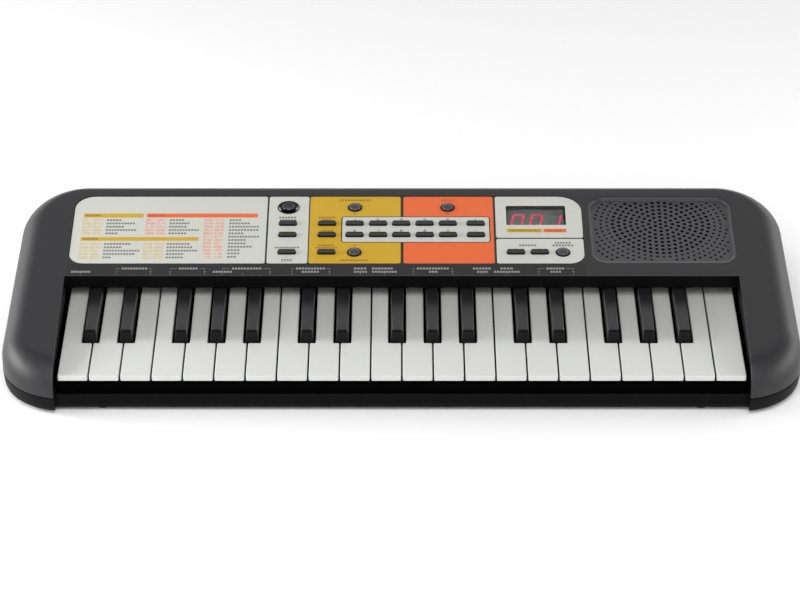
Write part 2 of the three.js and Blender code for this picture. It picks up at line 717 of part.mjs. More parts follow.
// ---- Key frame and contact board ----
function keyFrame() {
  const half = SLOT_HALF - FRAME_END_ROOM;
  const plate = box([-half, fromFront(FRAME_FRONT), FRAME_FOOT], [half, fromFront(FRAME_BACK), FRAME_TOP]);
  const rail = box(
    [-half, fromFront(FRAME_BACK - FRAME_RAIL_WIDTH), FRAME_FOOT],
    [half, fromFront(FRAME_BACK), KEY_PIVOT_HEIGHT],
  );
  const stop = box(
    [-half, fromFront(FRAME_FRONT), FRAME_FOOT],
    [half, fromFront(FRAME_FRONT + FRAME_STOP_WIDTH), FRAME_STOP_HEIGHT],
  );
  const groove = knuckle(0, 2 * half + 2 * PASS, KNUCKLE_RADIUS + GAP);
  return cut(join([plate, rail, stop]), [groove]);
}

const contactBoard = () => box(
  [-SLOT_HALF + 2 * FRAME_END_ROOM, fromFront(STEM_BACK - CONTACT_BOARD_DEPTH / 2), FRAME_TOP + GAP],
  [
    SLOT_HALF - 2 * FRAME_END_ROOM,
    fromFront(STEM_BACK + CONTACT_BOARD_DEPTH / 2),
    FRAME_TOP + GAP + BOARD_THICKNESS,
  ],
);

// ---- Keys ----
function knuckle(x, width, radius) {
  const geometry = new THREE.CylinderGeometry(radius, radius, width, 12);
  geometry.rotateZ(Math.PI / 2);
  geometry.translate(x, fromFront(KEY_PIVOT_BACK), KEY_PIVOT_HEIGHT);
  return solid(geometry);
}

// What every key has under its back half: the knuckle it turns on and the stem that works its contact.
function keyWorks(x, stemTop) {
  return join([
    knuckle(x, KNUCKLE_WIDTH, KNUCKLE_RADIUS),
    box(
      [x - KNUCKLE_WIDTH / 2, fromFront(KEY_PIVOT_BACK) - KEY_SIDE_WALL, KEY_PIVOT_HEIGHT],
      [x + KNUCKLE_WIDTH / 2, fromFront(KEY_PIVOT_BACK) + KEY_SIDE_WALL, KEY_TOP - KEY_SKIN / 2],
    ),
    box(
      [x - STEM_SIZE / 2, fromFront(STEM_BACK) - STEM_SIZE / 2, STEM_FOOT],
      [x + STEM_SIZE / 2, fromFront(STEM_BACK) + STEM_SIZE / 2, stemTop],
    ),
  ]);
}

// An outline with square corners, through a list of points.
const outline = (points) => new THREE.Shape(points.map(([x, y]) => new THREE.Vector2(x, y)));

// A white key between its own edges, with its tail narrowed by the black keys beside it.
function whiteKey(left, tailLeft, tailRight) {
  const right = left + KEY_PITCH - KEY_GAP;
  const front = fromFront(KEY_FRONT);
  const neck = front + HEAD_LENGTH;
  const back = fromFront(KEY_PIVOT_BACK + KEY_TAIL);
  const plan = (margin) => outline([
    [left + margin, front + margin],
    [right - margin, front + margin],
    [right - margin, neck - margin],
    [tailRight - margin, neck - margin],
    [tailRight - margin, back - margin],
    [tailLeft + margin, back - margin],
    [tailLeft + margin, neck - margin],
    [left + margin, neck - margin],
  ].filter(([x, y], i, all) => i === 0 || Math.hypot(x - all[i - 1][0], y - all[i - 1][1]) > 0.01));
  const block = raise(plan(0), KEY_TOP - KEY_THICKNESS, KEY_TOP);
  const hollow = raise(plan(KEY_SIDE_WALL), KEY_TOP - KEY_THICKNESS - PASS, KEY_TOP - KEY_SKIN);
  const bevel = new THREE.CylinderGeometry(KEY_EDGE, KEY_EDGE, 2 * KEY_PITCH, 4);
  bevel.rotateZ(Math.PI / 2);
  bevel.translate((left + right) / 2, front, KEY_TOP);
  const shell = cut(block, [hollow, solid(bevel)]);
  return join([shell, keyWorks((tailLeft + tailRight) / 2, KEY_TOP - KEY_SKIN / 2)]);
}

const blackKeys = [];
for (let octave = 0; octave < OCTAVES; octave += 1) {
  BLACK_PLACES.forEach((spot, i) => blackKeys.push({
    x: KEYS_LEFT + (octave * 7 + spot) * KEY_PITCH,
    name: `black_key_${SHARP_NAMES[i]}${octave + 1}`,
  }));
}

// A black key: a tapering cap that leans back at its nose, on a low tail.
function blackKey(x) {
  const front = fromFront(KEY_FRONT + BLACK_SETBACK);
  const capBack = fromFront(SLOT_BACK) + WALL + PASS;
  const foot = KEY_TOP - KEY_THICKNESS;
  const roof = KEY_TOP + BLACK_RISE;
  const back = fromFront(KEY_PIVOT_BACK + KEY_TAIL);
  const half = BLACK_WIDTH / 2;
  const across = (width, y, z) => [[x - width / 2, y, z], [x + width / 2, y, z]];
  const ring = (frontWidth, frontY, backWidth, z, drop) => [
    ...across(frontWidth, frontY, z),
    ...across(backWidth, capBack, z - drop).reverse(),
  ];
  const cap = (margin, below, above) => loft([
    ring(BLACK_WIDTH - 2 * margin, front + margin, BLACK_WIDTH - 2 * margin, below, 0),
    ring(
      BLACK_TOP_FRONT_WIDTH - 2 * margin,
      front + BLACK_NOSE + margin,
      BLACK_TOP_BACK_WIDTH - 2 * margin,
      above,
      BLACK_BACK_DROP,
    ),
  ]);
  const tail = box([x - half, capBack - PASS, foot], [x + half, back, KEY_TOP]);
  const hollowCap = cap(KEY_SIDE_WALL, foot - PASS, roof - KEY_SKIN);
  const hollowTail = box(
    [x - half + KEY_SIDE_WALL, capBack + KEY_SIDE_WALL, foot - PASS],
    [x + half - KEY_SIDE_WALL, back - KEY_SIDE_WALL, KEY_TOP - KEY_SKIN],
  );
  const shell = cut(join([cap(0, foot, roof), tail]), [hollowCap, hollowTail]);
  return join([shell, keyWorks(x, roof - BLACK_BACK_DROP - KEY_SKIN / 2)]);
}

function buildBlackKeys() {
  blackKeys.forEach(({ x, name }) => place(keyboard, name, blackKey(x), BLACK_PLASTIC));
}

function buildWhiteKeys() {
  for (let i = 0; i < WHITE_COUNT; i += 1) {
    const left = KEYS_LEFT + i * KEY_PITCH + KEY_GAP / 2;
    const right = left + KEY_PITCH - KEY_GAP;
    const overLeft = blackKeys.find(({ x }) => Math.abs(x - left) < NOTCH_WIDTH / 2);
    const overRight = blackKeys.find(({ x }) => Math.abs(x - right) < NOTCH_WIDTH / 2);
    const tailLeft = overLeft ? overLeft.x + NOTCH_WIDTH / 2 : left;
    const tailRight = overRight ? overRight.x - NOTCH_WIDTH / 2 : right;
    const name = `white_key_${NOTE_NAMES[i % 7]}${Math.floor(i / 7) + 1}`;
    place(keyboard, name, whiteKey(left, tailLeft, tailRight), WHITE_PLASTIC);
  }
}

// ---- The assembly ----
place(keyboard, 'top_case', topCase(), BODY_PLASTIC);
place(keyboard, 'bottom_case', bottomCase(), BODY_PLASTIC);
place(keyboard, 'battery_cover', batteryCover(), BODY_PLASTIC);
feetPlaces.forEach(([name, x, y]) => place(keyboard, name, foot(x, y), FOOT_RUBBER));
place(keyboard, 'key_frame', keyFrame(), FRAME_PLASTIC);
place(keyboard, 'key_contact_board', contactBoard(), BOARD_GREEN);
buildWhiteKeys();
buildBlackKeys();
place(deck, 'control_panel', controlPanel(), PANEL_PRINT);
place(deck, 'display_window', displayWindow(), WINDOW_PLASTIC);
place(deck, 'display_module', displayModule(), MODULE_PLASTIC);
place(deck, 'main_board', mainBoard(), BOARD_GREEN);
place(deck, 'speaker', speaker(), SPEAKER_METAL);
Object.entries(BAR_SETS).forEach(([name, places]) => place(deck, name, barUnit(places), BUTTON_RUBBER));
Object.entries(ROUND_BUTTONS).forEach(([name, spot]) => place(deck, name, roundButton(spot), BUTTON_RUBBER));

export default keyboard;
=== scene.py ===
import math

import bmesh
import bpy
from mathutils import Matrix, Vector
from mathutils.geometry import delaunay_2d_cdt


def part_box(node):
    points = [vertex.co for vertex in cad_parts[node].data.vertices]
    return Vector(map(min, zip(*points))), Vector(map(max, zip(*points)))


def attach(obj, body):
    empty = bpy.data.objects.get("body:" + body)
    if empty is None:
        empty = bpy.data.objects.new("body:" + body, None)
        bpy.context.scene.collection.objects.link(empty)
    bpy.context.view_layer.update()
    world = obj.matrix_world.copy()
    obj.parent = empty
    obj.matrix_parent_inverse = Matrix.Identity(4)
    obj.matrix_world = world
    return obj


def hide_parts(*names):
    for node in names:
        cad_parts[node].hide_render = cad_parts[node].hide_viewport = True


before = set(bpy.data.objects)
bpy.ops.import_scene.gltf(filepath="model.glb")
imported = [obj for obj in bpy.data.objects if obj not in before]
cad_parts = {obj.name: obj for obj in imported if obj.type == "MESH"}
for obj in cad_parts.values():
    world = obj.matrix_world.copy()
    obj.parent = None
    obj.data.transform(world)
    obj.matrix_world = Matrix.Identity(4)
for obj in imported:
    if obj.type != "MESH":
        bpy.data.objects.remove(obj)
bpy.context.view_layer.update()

# A toy electronic keyboard. Lengths here are millimetres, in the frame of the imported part:
# +X right, +Y to the back, +Z up. Deck coordinates are x, up (along the sloping deck, from a
# line just in front of its front edge) and out (off the deck).
MM = 0.001

# ---- Camera ----
camera_data = bpy.data.cameras.new("keyboard_camera")
camera_data.sensor_width = 36
camera_data.lens = 145.8
camera_data.clip_start = 0.05
camera_data.clip_end = 40
camera = bpy.data.objects.new("keyboard_camera", camera_data)
bpy.context.scene.collection.objects.link(camera)
CAMERA_AT = Vector((-1.2, -1787.5, 1128)) * MM
CAMERA_AIM = Vector((-1.2, -3.2, 25.6)) * MM
camera.location = CAMERA_AT
camera.rotation_euler = (CAMERA_AIM - CAMERA_AT).to_track_quat("-Z", "Y").to_euler()
bpy.context.scene.camera = camera


def node_box(node):
    """The lowest and highest corner of a node of the frame."""
    return [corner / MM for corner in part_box(node)]


# ---- Sizes taken from the frame ----
CASE_LOW, CASE_HIGH = node_box("top_case")
SHELL_LOW, _ = node_box("bottom_case")
WIDTH = CASE_HIGH.x - CASE_LOW.x
DEPTH = CASE_HIGH.y * 2
HEIGHT = CASE_HIGH.z
SEAM = CASE_LOW.z
UNDERSIDE = SHELL_LOW.z

# ---- Sizes of the case ----
DECK_TILT = math.radians(6.3)
CORNER = 42  # corner radius seen from above
SIDE_ROUND, FRONT_ROUND, BACK_ROUND, SHOULDER = 14, 17, 10, 16  # how far the upper edge is rounded
WALL, DECK_WALL, FLOOR = 2.4, 3, 2.2
SLOT_HALF = 217.48  # half the width of the key slot
REAR_TAPER = 2.6  # how much nearer the middle each side is at the back than behind the front corner
DECK_START = 96.2  # where deck coordinates start, from the front
SLOT_BACK = 98  # back wall of the key slot, from the front
SKIRT_FOOT = 34.6  # lower edge of that wall, over the tails of the keys
EDGE = 0.7  # rounding of the slot's edges
GAP = 0.3  # between pieces that are fitted to each other
CORNER_TURN = SLOT_HALF - WIDTH / 2 + CORNER
ARC_ROOM = 0.16  # the finer arcs here would stand this far in front of the frame's
CHEEK_LEAN = CORNER - math.sqrt(CORNER**2 - CORNER_TURN**2) - ARC_ROOM

PANEL_LEFT, PANEL_WIDTH, PANEL_FRONT, PANEL_LENGTH = -216.5, 335.5, 15, 73.6
PANEL_CORNERS = (10, 10, 16, 13.5)
PANEL_THICKNESS, PANEL_RECESS, PANEL_LEDGE = 1.2, 0.4, 4
PANEL_FACE = -PANEL_RECESS
PANEL_BACK = PANEL_FACE - PANEL_THICKNESS
PRINT = 0.06  # thickness of the printed blocks on the panel
INK = 0.03  # thickness of the marks on them

GRILLE_LEFT, GRILLE_WIDTH, GRILLE_FRONT, GRILLE_LENGTH = 124, 93, 16, 71.2
GRILLE_RADIUS, GRILLE_RECESS, GRILLE_FLOOR, GRILLE_RIM = 10, 2.2, 1.3, 2.5
GRILLE_X = GRILLE_LEFT + GRILLE_WIDTH / 2
GRILLE_UP = GRILLE_FRONT + GRILLE_LENGTH / 2


def from_front(distance):
    return distance - DEPTH / 2


def deck_height(y):
    return HEIGHT - (DEPTH / 2 - BACK_ROUND - y) * math.tan(DECK_TILT)


def taper(y):
    start = CORNER - DEPTH / 2
    return REAR_TAPER * max(0, y - start) / (DEPTH / 2 - start)


DECK_ORIGIN = Vector((0, from_front(DECK_START), deck_height(from_front(DECK_START))))
DECK_UP = Vector((0, math.cos(DECK_TILT), math.sin(DECK_TILT)))
DECK_OUT = Vector((0, -math.sin(DECK_TILT), math.cos(DECK_TILT)))
RIGHT = Vector((1, 0, 0))


def on_deck(x, up, out=0.0):
    return DECK_ORIGIN + RIGHT * x + DECK_UP * up + DECK_OUT * out


def deck_up_of(point):
    return (point - DECK_ORIGIN).dot(DECK_UP)


# ---- Outlines ----
def rounded(points, radii, steps=6):
    """A closed outline, anticlockwise, with an arc of steps pieces at each corner."""
    ring = []
    for i, point in enumerate(points):
        corner = Vector(point)
        back = (Vector(points[i - 1]) - corner).normalized()
        ahead = (Vector(points[(i + 1) % len(points)]) - corner).normalized()
        half = back.angle(ahead) / 2
        radius = max(radii[i % len(radii)], 0.02)
        reach = radius / math.tan(half)
        centre = corner + (back + ahead).normalized() * (radius / math.sin(half))
        start, end = corner + back * reach - centre, corner + ahead * reach - centre
        turn = start.angle_signed(end)
        for step in range(steps + 1):
            angle = -turn * step / steps
            ring.append((
                centre.x + start.x * math.cos(angle) - start.y * math.sin(angle),
                centre.y + start.x * math.sin(angle) + start.y * math.cos(angle),
            ))
    return ring


def rectangle(left, front, width, length, radii, margin=0.0, steps=6):
    x0, x1 = left - margin, left + width + margin
    y0, y1 = front - margin, front + length + margin
    grown = [max(radius + margin, 0.02) for radius in radii]
    return rounded(quad(x0, y0, x1, y1), grown, steps)


def quad(x0, y0, x1, y1):
    return [(x0, y0), (x1, y0), (x1, y1), (x0, y1)]


def circle(x, y, radius, sides=24):
    return [
        (x + radius * math.cos(2 * math.pi * i / sides), y + radius * math.sin(2 * math.pi * i / sides))
        for i in range(sides)
    ]


# ---- Meshes ----
class Skin:
    """Rings of points and the faces between them, gathered for one piece."""

    def __init__(self):
        self.points = []
        self.faces = []
        self.finishes = []

    def ring(self, points):
        start = len(self.points)
        self.points.extend(Vector(point) for point in points)
        return list(range(start, start + len(points)))

    def face(self, corners, finish=0):
        self.faces.append(corners)
        self.finishes.append(finish)

    def bridge(self, low, high, closed=True, finish=0):
        count = len(low)
        for i in range(count if closed else count - 1):
            j = (i + 1) % count
            self.face([low[i], low[j], high[j], high[i]], finish)

    def stack(self, rings, closed=True, finish=0):
        for low, high in zip(rings, rings[1:]):
            self.bridge(low, high, closed, finish)

    def sheet(self, outline, holes, place, flip=False, finish=0):
        """A flat face with holes. The outlines are in the plane's own two coordinates."""
        loops = [outline] + list(holes)
        flat = [Vector(point) for loop in loops for point in loop]
        sides, start = [], 0
        for loop in loops:
            sides.append(list(range(start, start + len(loop))))
            start += len(loop)
        where, _, triangles, *_ = delaunay_2d_cdt(flat, [], sides, 2, 1e-7)
        base = self.ring([place(*point) for point in where])
        for triangle in triangles:
            corners = [base[k] for k in triangle]
            self.face(corners[::-1] if flip else corners, finish)

    def slab(self, outline, holes, low, high, place, finish=0, bevel=0.0, side=None):
        """A flat slab through which the holes run."""
        side = finish if side is None else side
        for loop, grow in [(outline, -1)] + [(hole, 1) for hole in holes]:
            top = [place(x, y, high) for x, y in (shrunk(loop, bevel * -grow) if bevel else loop)]
            walls = [[place(x, y, low) for x, y in loop]]
            if bevel:
                walls.append([place(x, y, high - bevel) for x, y in loop])
            self.stack([self.ring(wall) for wall in walls + [top]], finish=side)
        rims = [shrunk(hole, -bevel) for hole in holes] if bevel else holes
        self.sheet(shrunk(outline, bevel) if bevel else outline, rims,
                   lambda x, y: place(x, y, high), finish=finish)
        self.sheet(outline, holes, lambda x, y: place(x, y, low), flip=True, finish=side)

    def box(self, low, high, finish=0):
        (x0, y0, z0), (x1, y1, z1) = low, high
        lower, upper = (self.ring([(x, y, z) for x, y in quad(x0, y0, x1, y1)]) for z in (z0, z1))
        self.bridge(lower, upper, finish=finish)
        self.face(lower[::-1], finish)
        self.face(upper, finish)

    def turned(self, profile, place, sides=32, finishes=None):
        """A solid turned about the line place(0, 0, height), from its lowest point to its highest."""
        rings = [self.ring([place(x, y, height) for x, y in circle(0, 0, max(radius, 0.01), sides)])
                 for radius, height in profile]
        for i, (low, high) in enumerate(zip(rings, rings[1:])):
            self.bridge(low, high, finish=finishes[i] if finishes else 0)
        self.face(rings[0][::-1], finishes[0] if finishes else 0)
        self.face(rings[-1], finishes[-1] if finishes else 0)


def standing_at(x, y):
    """Where the points of a solid turned about an upright line go."""
    return lambda across, back, z: (x + across, y + back, z)


def shrunk(loop, inset):
    """A closed outline drawn in by a small distance."""
    ring, count = [], len(loop)
    area = sum(loop[i - 1][0] * loop[i][1] - loop[i][0] * loop[i - 1][1] for i in range(count))
    inward = 1 if area > 0 else -1
    for i in range(count):
        before, point, after = Vector(loop[i - 1]), Vector(loop[i]), Vector(loop[(i + 1) % count])
        first, second = (point - before), (after - point)
        if first.length < 1e-6 or second.length < 1e-6:
            first = second = after - before
        normals = [Vector((-side.y, side.x)).normalized() for side in (first, second)]
        middle = (normals[0] + normals[1]).normalized()
        stretch = 1 / max(middle.dot(normals[0]), 0.4)
        moved = point + middle * inset * stretch * inward
        ring.append((moved.x, moved.y))
    return ring


def loose(name, skin, materials=(), weld=0.002, drop_slivers=False):
    """An object from a skin, its points welded and its faces turned outwards. It rides on nothing yet."""
    mesh = bpy.data.meshes.new(name)
    mesh.from_pydata([point * MM for point in skin.points], [], skin.faces)
    for material in materials:
        mesh.materials.append(material)
    mesh.polygons.foreach_set("material_index", skin.finishes)
    shape = bmesh.new()
    shape.from_mesh(mesh)
    bmesh.ops.remove_doubles(shape, verts=shape.verts, dist=weld * MM)
    if drop_slivers:
        bmesh.ops.dissolve_degenerate(shape, edges=shape.edges, dist=1e-7)
    bmesh.ops.recalc_face_normals(shape, faces=shape.faces)
    shape.to_mesh(mesh)
    shape.free()
    piece = bpy.data.objects.new(name, mesh)
    bpy.context.scene.collection.objects.link(piece)
    return piece


def make_piece(name, skin, materials, body, replaces=(), sharp=40, bevel=None, weld=0.002):
    """A finished piece from a skin."""
    finish_piece(loose(name, skin, materials, weld, True), body, replaces, sharp, bevel)


def finish_piece(piece, body, replaces=(), sharp=40, bevel=None):
    """Shades a piece smooth where it curves, and sets it riding on a body of the frame."""
    mesh = piece.data
    mesh.shade_smooth()
    if bevel:
        width, segments = bevel
        rounding = piece.modifiers.new("rounded_edges", "BEVEL")
        rounding.width = width * MM
        rounding.segments = segments
        rounding.limit_method = "ANGLE"
        rounding.angle_limit = math.radians(30)
        rounding.use_clamp_overlap = False
        rounding.miter_outer = "MITER_ARC"
    else:
        mesh.set_sharp_from_angle(angle=math.radians(sharp))
    weighting = piece.modifiers.new("even_shading", "WEIGHTED_NORMAL")
    weighting.keep_sharp = True
    weighting.weight = 80
    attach(piece, body)
    if replaces:
        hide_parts(*replaces)


# ---- Finishes ----
def linear(red, green, blue):
    """An 8-bit screen colour as the light it stands for."""
    def light(value):
        share = value / 255
        return share / 12.92 if share <= 0.04045 else ((share + 0.055) / 1.055) ** 2.4
    return (light(red), light(green), light(blue), 1)


def new_group(name, inputs, outputs):
    group = bpy.data.node_groups.new(name, "ShaderNodeTree")
    for label, kind, value in inputs:
        socket = group.interface.new_socket(label, in_out="INPUT", socket_type=kind)
        socket.default_value = value
    for label, kind in outputs:
        group.interface.new_socket(label, in_out="OUTPUT", socket_type=kind)
    return group, group.nodes.new("NodeGroupInput"), group.nodes.new("NodeGroupOutput")


def math_step(tree, operation, *terms):
    """The result of a Math node whose terms are numbers or other nodes' outputs."""
    step = tree.nodes.new("ShaderNodeMath")
    step.operation = operation
    for socket, term in zip(step.inputs, terms):
        if isinstance(term, (int, float)):
            socket.default_value = term
        else:
            tree.links.new(term, socket)
    return step.outputs[0]


def noise(tree, place, scale, detail=2):
    """Noise in the piece's own space, its scale a number or another node's output."""
    cloud = tree.nodes.new("ShaderNodeTexNoise")
    cloud.inputs["Detail"].default_value = detail
    tree.links.new(place, cloud.inputs["Vector"])
    if isinstance(scale, (int, float)):
        cloud.inputs["Scale"].default_value = scale
    else:
        tree.links.new(scale, cloud.inputs["Scale"])
    return cloud.outputs["Fac"]


def moulded_grain_group():
    """The fine grain of moulded plastic, with a roughness that drifts a little over the piece."""
    group, given, result = new_group(
        "moulded_grain",
        [("Grain", "NodeSocketFloat", 2600), ("Roughness", "NodeSocketFloat", 0.5),
         ("Drift", "NodeSocketFloat", 0.06), ("Patch", "NodeSocketFloat", 30)],
        [("Height", "NodeSocketFloat"), ("Roughness", "NodeSocketFloat")],
    )
    place = group.nodes.new("ShaderNodeTexCoord").outputs["Object"]
    group.links.new(noise(group, place, given.outputs["Grain"], 3), result.inputs["Height"])
    centred = math_step(group, "SUBTRACT", noise(group, place, given.outputs["Patch"]), 0.5)
    swing = math_step(group, "MULTIPLY_ADD", centred, given.outputs["Drift"], given.outputs["Roughness"])
    group.links.new(swing, result.inputs["Roughness"])
    return group


PATCHES_PER_METRE = 18


def tone_group():
    """A colour that lightens and darkens slightly in speckles and in broad patches."""
    group, given, result = new_group(
        "plastic_tone",
        [("Colour", "NodeSocketColor", (0.5, 0.5, 0.5, 1)), ("Speckle", "NodeSocketFloat", 0.1),
         ("Patch", "NodeSocketFloat", 0.05), ("Speckle Size", "NodeSocketFloat", 1500)],
        [("Colour", "NodeSocketColor")],
    )
    place = group.nodes.new("ShaderNodeTexCoord").outputs["Object"]
    share = 1
    for amount, size in ((given.outputs["Speckle"], given.outputs["Speckle Size"]),
                         (given.outputs["Patch"], PATCHES_PER_METRE)):
        centred = math_step(group, "SUBTRACT", noise(group, place, size), 0.5)
        share = math_step(group, "MULTIPLY_ADD", centred, amount, share)
    scaled = group.nodes.new("ShaderNodeVectorMath")
    scaled.operation = "SCALE"
    group.links.new(given.outputs["Colour"], scaled.inputs[0])
    group.links.new(share, scaled.inputs["Scale"])
    group.links.new(scaled.outputs[0], result.inputs["Colour"])
    return group


GRAIN = moulded_grain_group()
TONE = tone_group()


def moulded(name, colour, roughness, grain=2600, depth=0.004, speckle=0.06, patch=0.04, drift=0.06,
            specular=0.5, metallic=0.0, coat=0.0, coat_roughness=0.1):
    """Moulded plastic, print or rubber: a toned colour with its own grain and gloss."""
    material = bpy.data.materials.new(name)
    material.use_nodes = True
    nodes, links = material.node_tree.nodes, material.node_tree.links
    shader = nodes["Principled BSDF"]
    shader.inputs["Specular IOR Level"].default_value = specular
    shader.inputs["Metallic"].default_value = metallic
    shader.inputs["Coat Weight"].default_value = coat
    shader.inputs["Coat Roughness"].default_value = coat_roughness
    tone = nodes.new("ShaderNodeGroup")
    tone.node_tree = TONE
    tone.inputs["Colour"].default_value = linear(*colour)
    tone.inputs["Speckle"].default_value = speckle
    tone.inputs["Patch"].default_value = patch
    links.new(tone.outputs["Colour"], shader.inputs["Base Color"])
    surface = nodes.new("ShaderNodeGroup")
    surface.node_tree = GRAIN
    surface.inputs["Grain"].default_value = grain
    surface.inputs["Roughness"].default_value = roughness
    surface.inputs["Drift"].default_value = drift
    links.new(surface.outputs["Roughness"], shader.inputs["Roughness"])
    bump = nodes.new("ShaderNodeBump")
    bump.inputs["Distance"].default_value = depth * MM
    links.new(surface.outputs["Height"], bump.inputs["Height"])
    links.new(bump.outputs["Normal"], shader.inputs["Normal"])
    return material


BODY = moulded("matte_case_plastic", (35, 35, 37), 0.46, grain=1900, depth=0.012, speckle=0.12,
               specular=0.4)
# The case plastic darkened as painted shade, for the lower shell and the battery cover, which face down.
LOWER_SHELL_SHADE_PLASTIC = moulded("lower_case_painted_shade_plastic", (9, 9, 11), 0.5, grain=1900, depth=0.012, speckle=0.12,
                    specular=0.12)
GRILLE_PLASTIC = moulded("grille_plastic", (62, 62, 64), 0.42, grain=1900, depth=0.01, speckle=0.12)
# Near-black plastic with shade painted in, for the slot's walls, the skirt over the key tails, the lip bar
# and the vents' walls.
WALL_SHADE_PLASTIC = moulded("painted_shade_wall_plastic", (6, 6, 7), 0.5, grain=1900, depth=0.01, speckle=0.1,
                       specular=0.08)
STRIP = moulded("legend_strip_plastic", (30, 30, 32), 0.45, grain=2400, depth=0.006, specular=0.35)
WHITE_KEY = moulded("ivory_white_key_plastic", (201, 202, 198), 0.28, grain=900, depth=0.0015,
                    speckle=0.015, patch=0.008, drift=0.03, specular=0.4)
BLACK_KEY = moulded("black_key_plastic", (28, 28, 29), 0.3, grain=1200, depth=0.002, speckle=0.05)
# The nose's own coarser grain, with a colour darker than the top: painted shade on the face turned to the
# front.
BLACK_NOSE_SHADED = moulded("black_key_nose_shaded_plastic", (9, 9, 10), 0.5, grain=1500, depth=0.02, speckle=0.3,
                     specular=0.2)
# A band of painted shade at the top of a black key's nose, where the top turns down.
NOSE_SHADE_BAND = moulded("black_key_nose_shade_band", (5, 5, 6), 0.5, specular=0.1)
PLATE = moulded("panel_base_plastic", (40, 40, 38), 0.4, grain=2400, depth=0.003, specular=0.3)
PRINT_WHITE = moulded("warm_white_print", (190, 192, 184), 0.42, grain=1600, depth=0.003, speckle=0.03,
                      specular=0.3)
PRINT_YELLOW = moulded("yellow_print", (190, 152, 37), 0.42, grain=1600, depth=0.003, speckle=0.04,
                       specular=0.3)
PRINT_ORANGE = moulded("orange_print", (216, 99, 52), 0.42, grain=1600, depth=0.003, speckle=0.04,
                       specular=0.3)
# The darker button rubber is painted shade: the caps' sides, the rounded edges of the bars and the rings
# round the domes.
BUTTON = moulded("button_rubber", (16, 16, 17), 0.42, grain=2200, depth=0.006, specular=0.3)
BUTTON_TOP = moulded("button_top_rubber", (40, 40, 41), 0.4, grain=2200, depth=0.006, speckle=0.1,
                     specular=0.4)
DOME = moulded("round_button_top", (62, 62, 66), 0.34, grain=2200, depth=0.004)
POWER_TOP = moulded("power_button_top", (44, 44, 47), 0.3, grain=2200, depth=0.004)
GLOSS_BLACK = moulded("gloss_black_ring", (10, 10, 11), 0.1, grain=300, depth=0.0005, coat=0.6,
                      coat_roughness=0.05)
FOOT_RUBBER = moulded("foot_rubber", (26, 26, 26), 0.75, grain=1100, depth=0.03, speckle=0.2)
SPEAKER_CONE = moulded("speaker_paper", (18, 18, 18), 0.8, grain=700, depth=0.03, speckle=0.3)
# The key frame near-black and dull: painted shade under the keys.
KEY_FRAME_SHADE = moulded("key_frame_painted_shade_plastic", (5, 5, 6), 0.6, depth=0.01, specular=0.05)
BOARD = moulded("circuit_board_green", (40, 92, 58), 0.45, grain=400, depth=0.02, speckle=0.15)
# The contact board near-black: painted shade in the gaps between the keys.
CONTACT_BOARD_SHADE = moulded("contact_board_painted_shade", (6, 8, 7), 0.4, grain=400, depth=0.02, speckle=0.15, specular=0.2)
# The digit module's face is lighter than its own colour: painted light that lifts the shade in the deep
# window and stands in for the pane's reflection. The unlit strokes are lightened to match.
MODULE = moulded("display_face_painted_light", (128, 132, 130), 0.35, grain=800, depth=0.002, specular=0.3)
UNLIT = moulded("unlit_segment", (116, 120, 118), 0.4)
SCREW_STEEL = moulded("blackened_screw_steel", (96, 96, 98), 0.35, grain=1500, metallic=0.9)


def glass_material():
    material = bpy.data.materials.new("smoked_window")
    material.use_nodes = True
    shader = material.node_tree.nodes["Principled BSDF"]
    shader.inputs["Base Color"].default_value = (0.8, 0.82, 0.81, 1)
    shader.inputs["Transmission Weight"].default_value = 1
    shader.inputs["IOR"].default_value = 1.02
    shader.inputs["Coat Weight"].default_value = 0.5
    shader.inputs["Coat Roughness"].default_value = 0.04
    shader.inputs["Roughness"].default_value = 0.03
    surface = material.node_tree.nodes.new("ShaderNodeGroup")
    surface.node_tree = GRAIN
    surface.inputs["Grain"].default_value = 260
    surface.inputs["Roughness"].default_value = 0.04
    bump = material.node_tree.nodes.new("ShaderNodeBump")
    bump.inputs["Distance"].default_value = 0.0004 * MM
    material.node_tree.links.new(surface.outputs["Height"], bump.inputs["Height"])
    material.node_tree.links.new(bump.outputs["Normal"], shader.inputs["Normal"])
    return material


def lit_material():
    material = moulded("lit_segment", (230, 60, 92), 0.4)
    shader = material.node_tree.nodes["Principled BSDF"]
    shader.inputs["Emission Color"].default_value = linear(232, 40, 84)
    shader.inputs["Emission Strength"].default_value = 0.75
    return material


WINDOW = glass_material()
LIT = lit_material()


# ---- Top shell ----
RING_STEPS = 20


def case_ring(side, front, back, height_at, stop):
    """The case's outline from one side of the key slot, round the back, to the other."""
    points = []
    reach_x = CORNER - side
    slot_turn = math.acos((stop - WIDTH / 2 + CORNER) / reach_x)
    for sx, sy in ((1, -1), (1, 1), (-1, 1), (-1, -1)):
        reach_y = CORNER - (front if sy < 0 else back)
        turn = slot_turn if sy < 0 else math.pi / 2
        opening = sx * sy < 0  # the arcs that start away from the side
        for step in range(RING_STEPS + 1):
            share = step / RING_STEPS
            angle = turn * ((1 - share) if opening else share)
            y = sy * (DEPTH / 2 - CORNER + reach_y * math.sin(angle)) - (CHEEK_LEAN if sy < 0 else 0)
            x = sx * (WIDTH / 2 - CORNER - taper(y) + reach_x * math.cos(angle))
            points.append(Vector((x, y, height_at(y))))
    return points


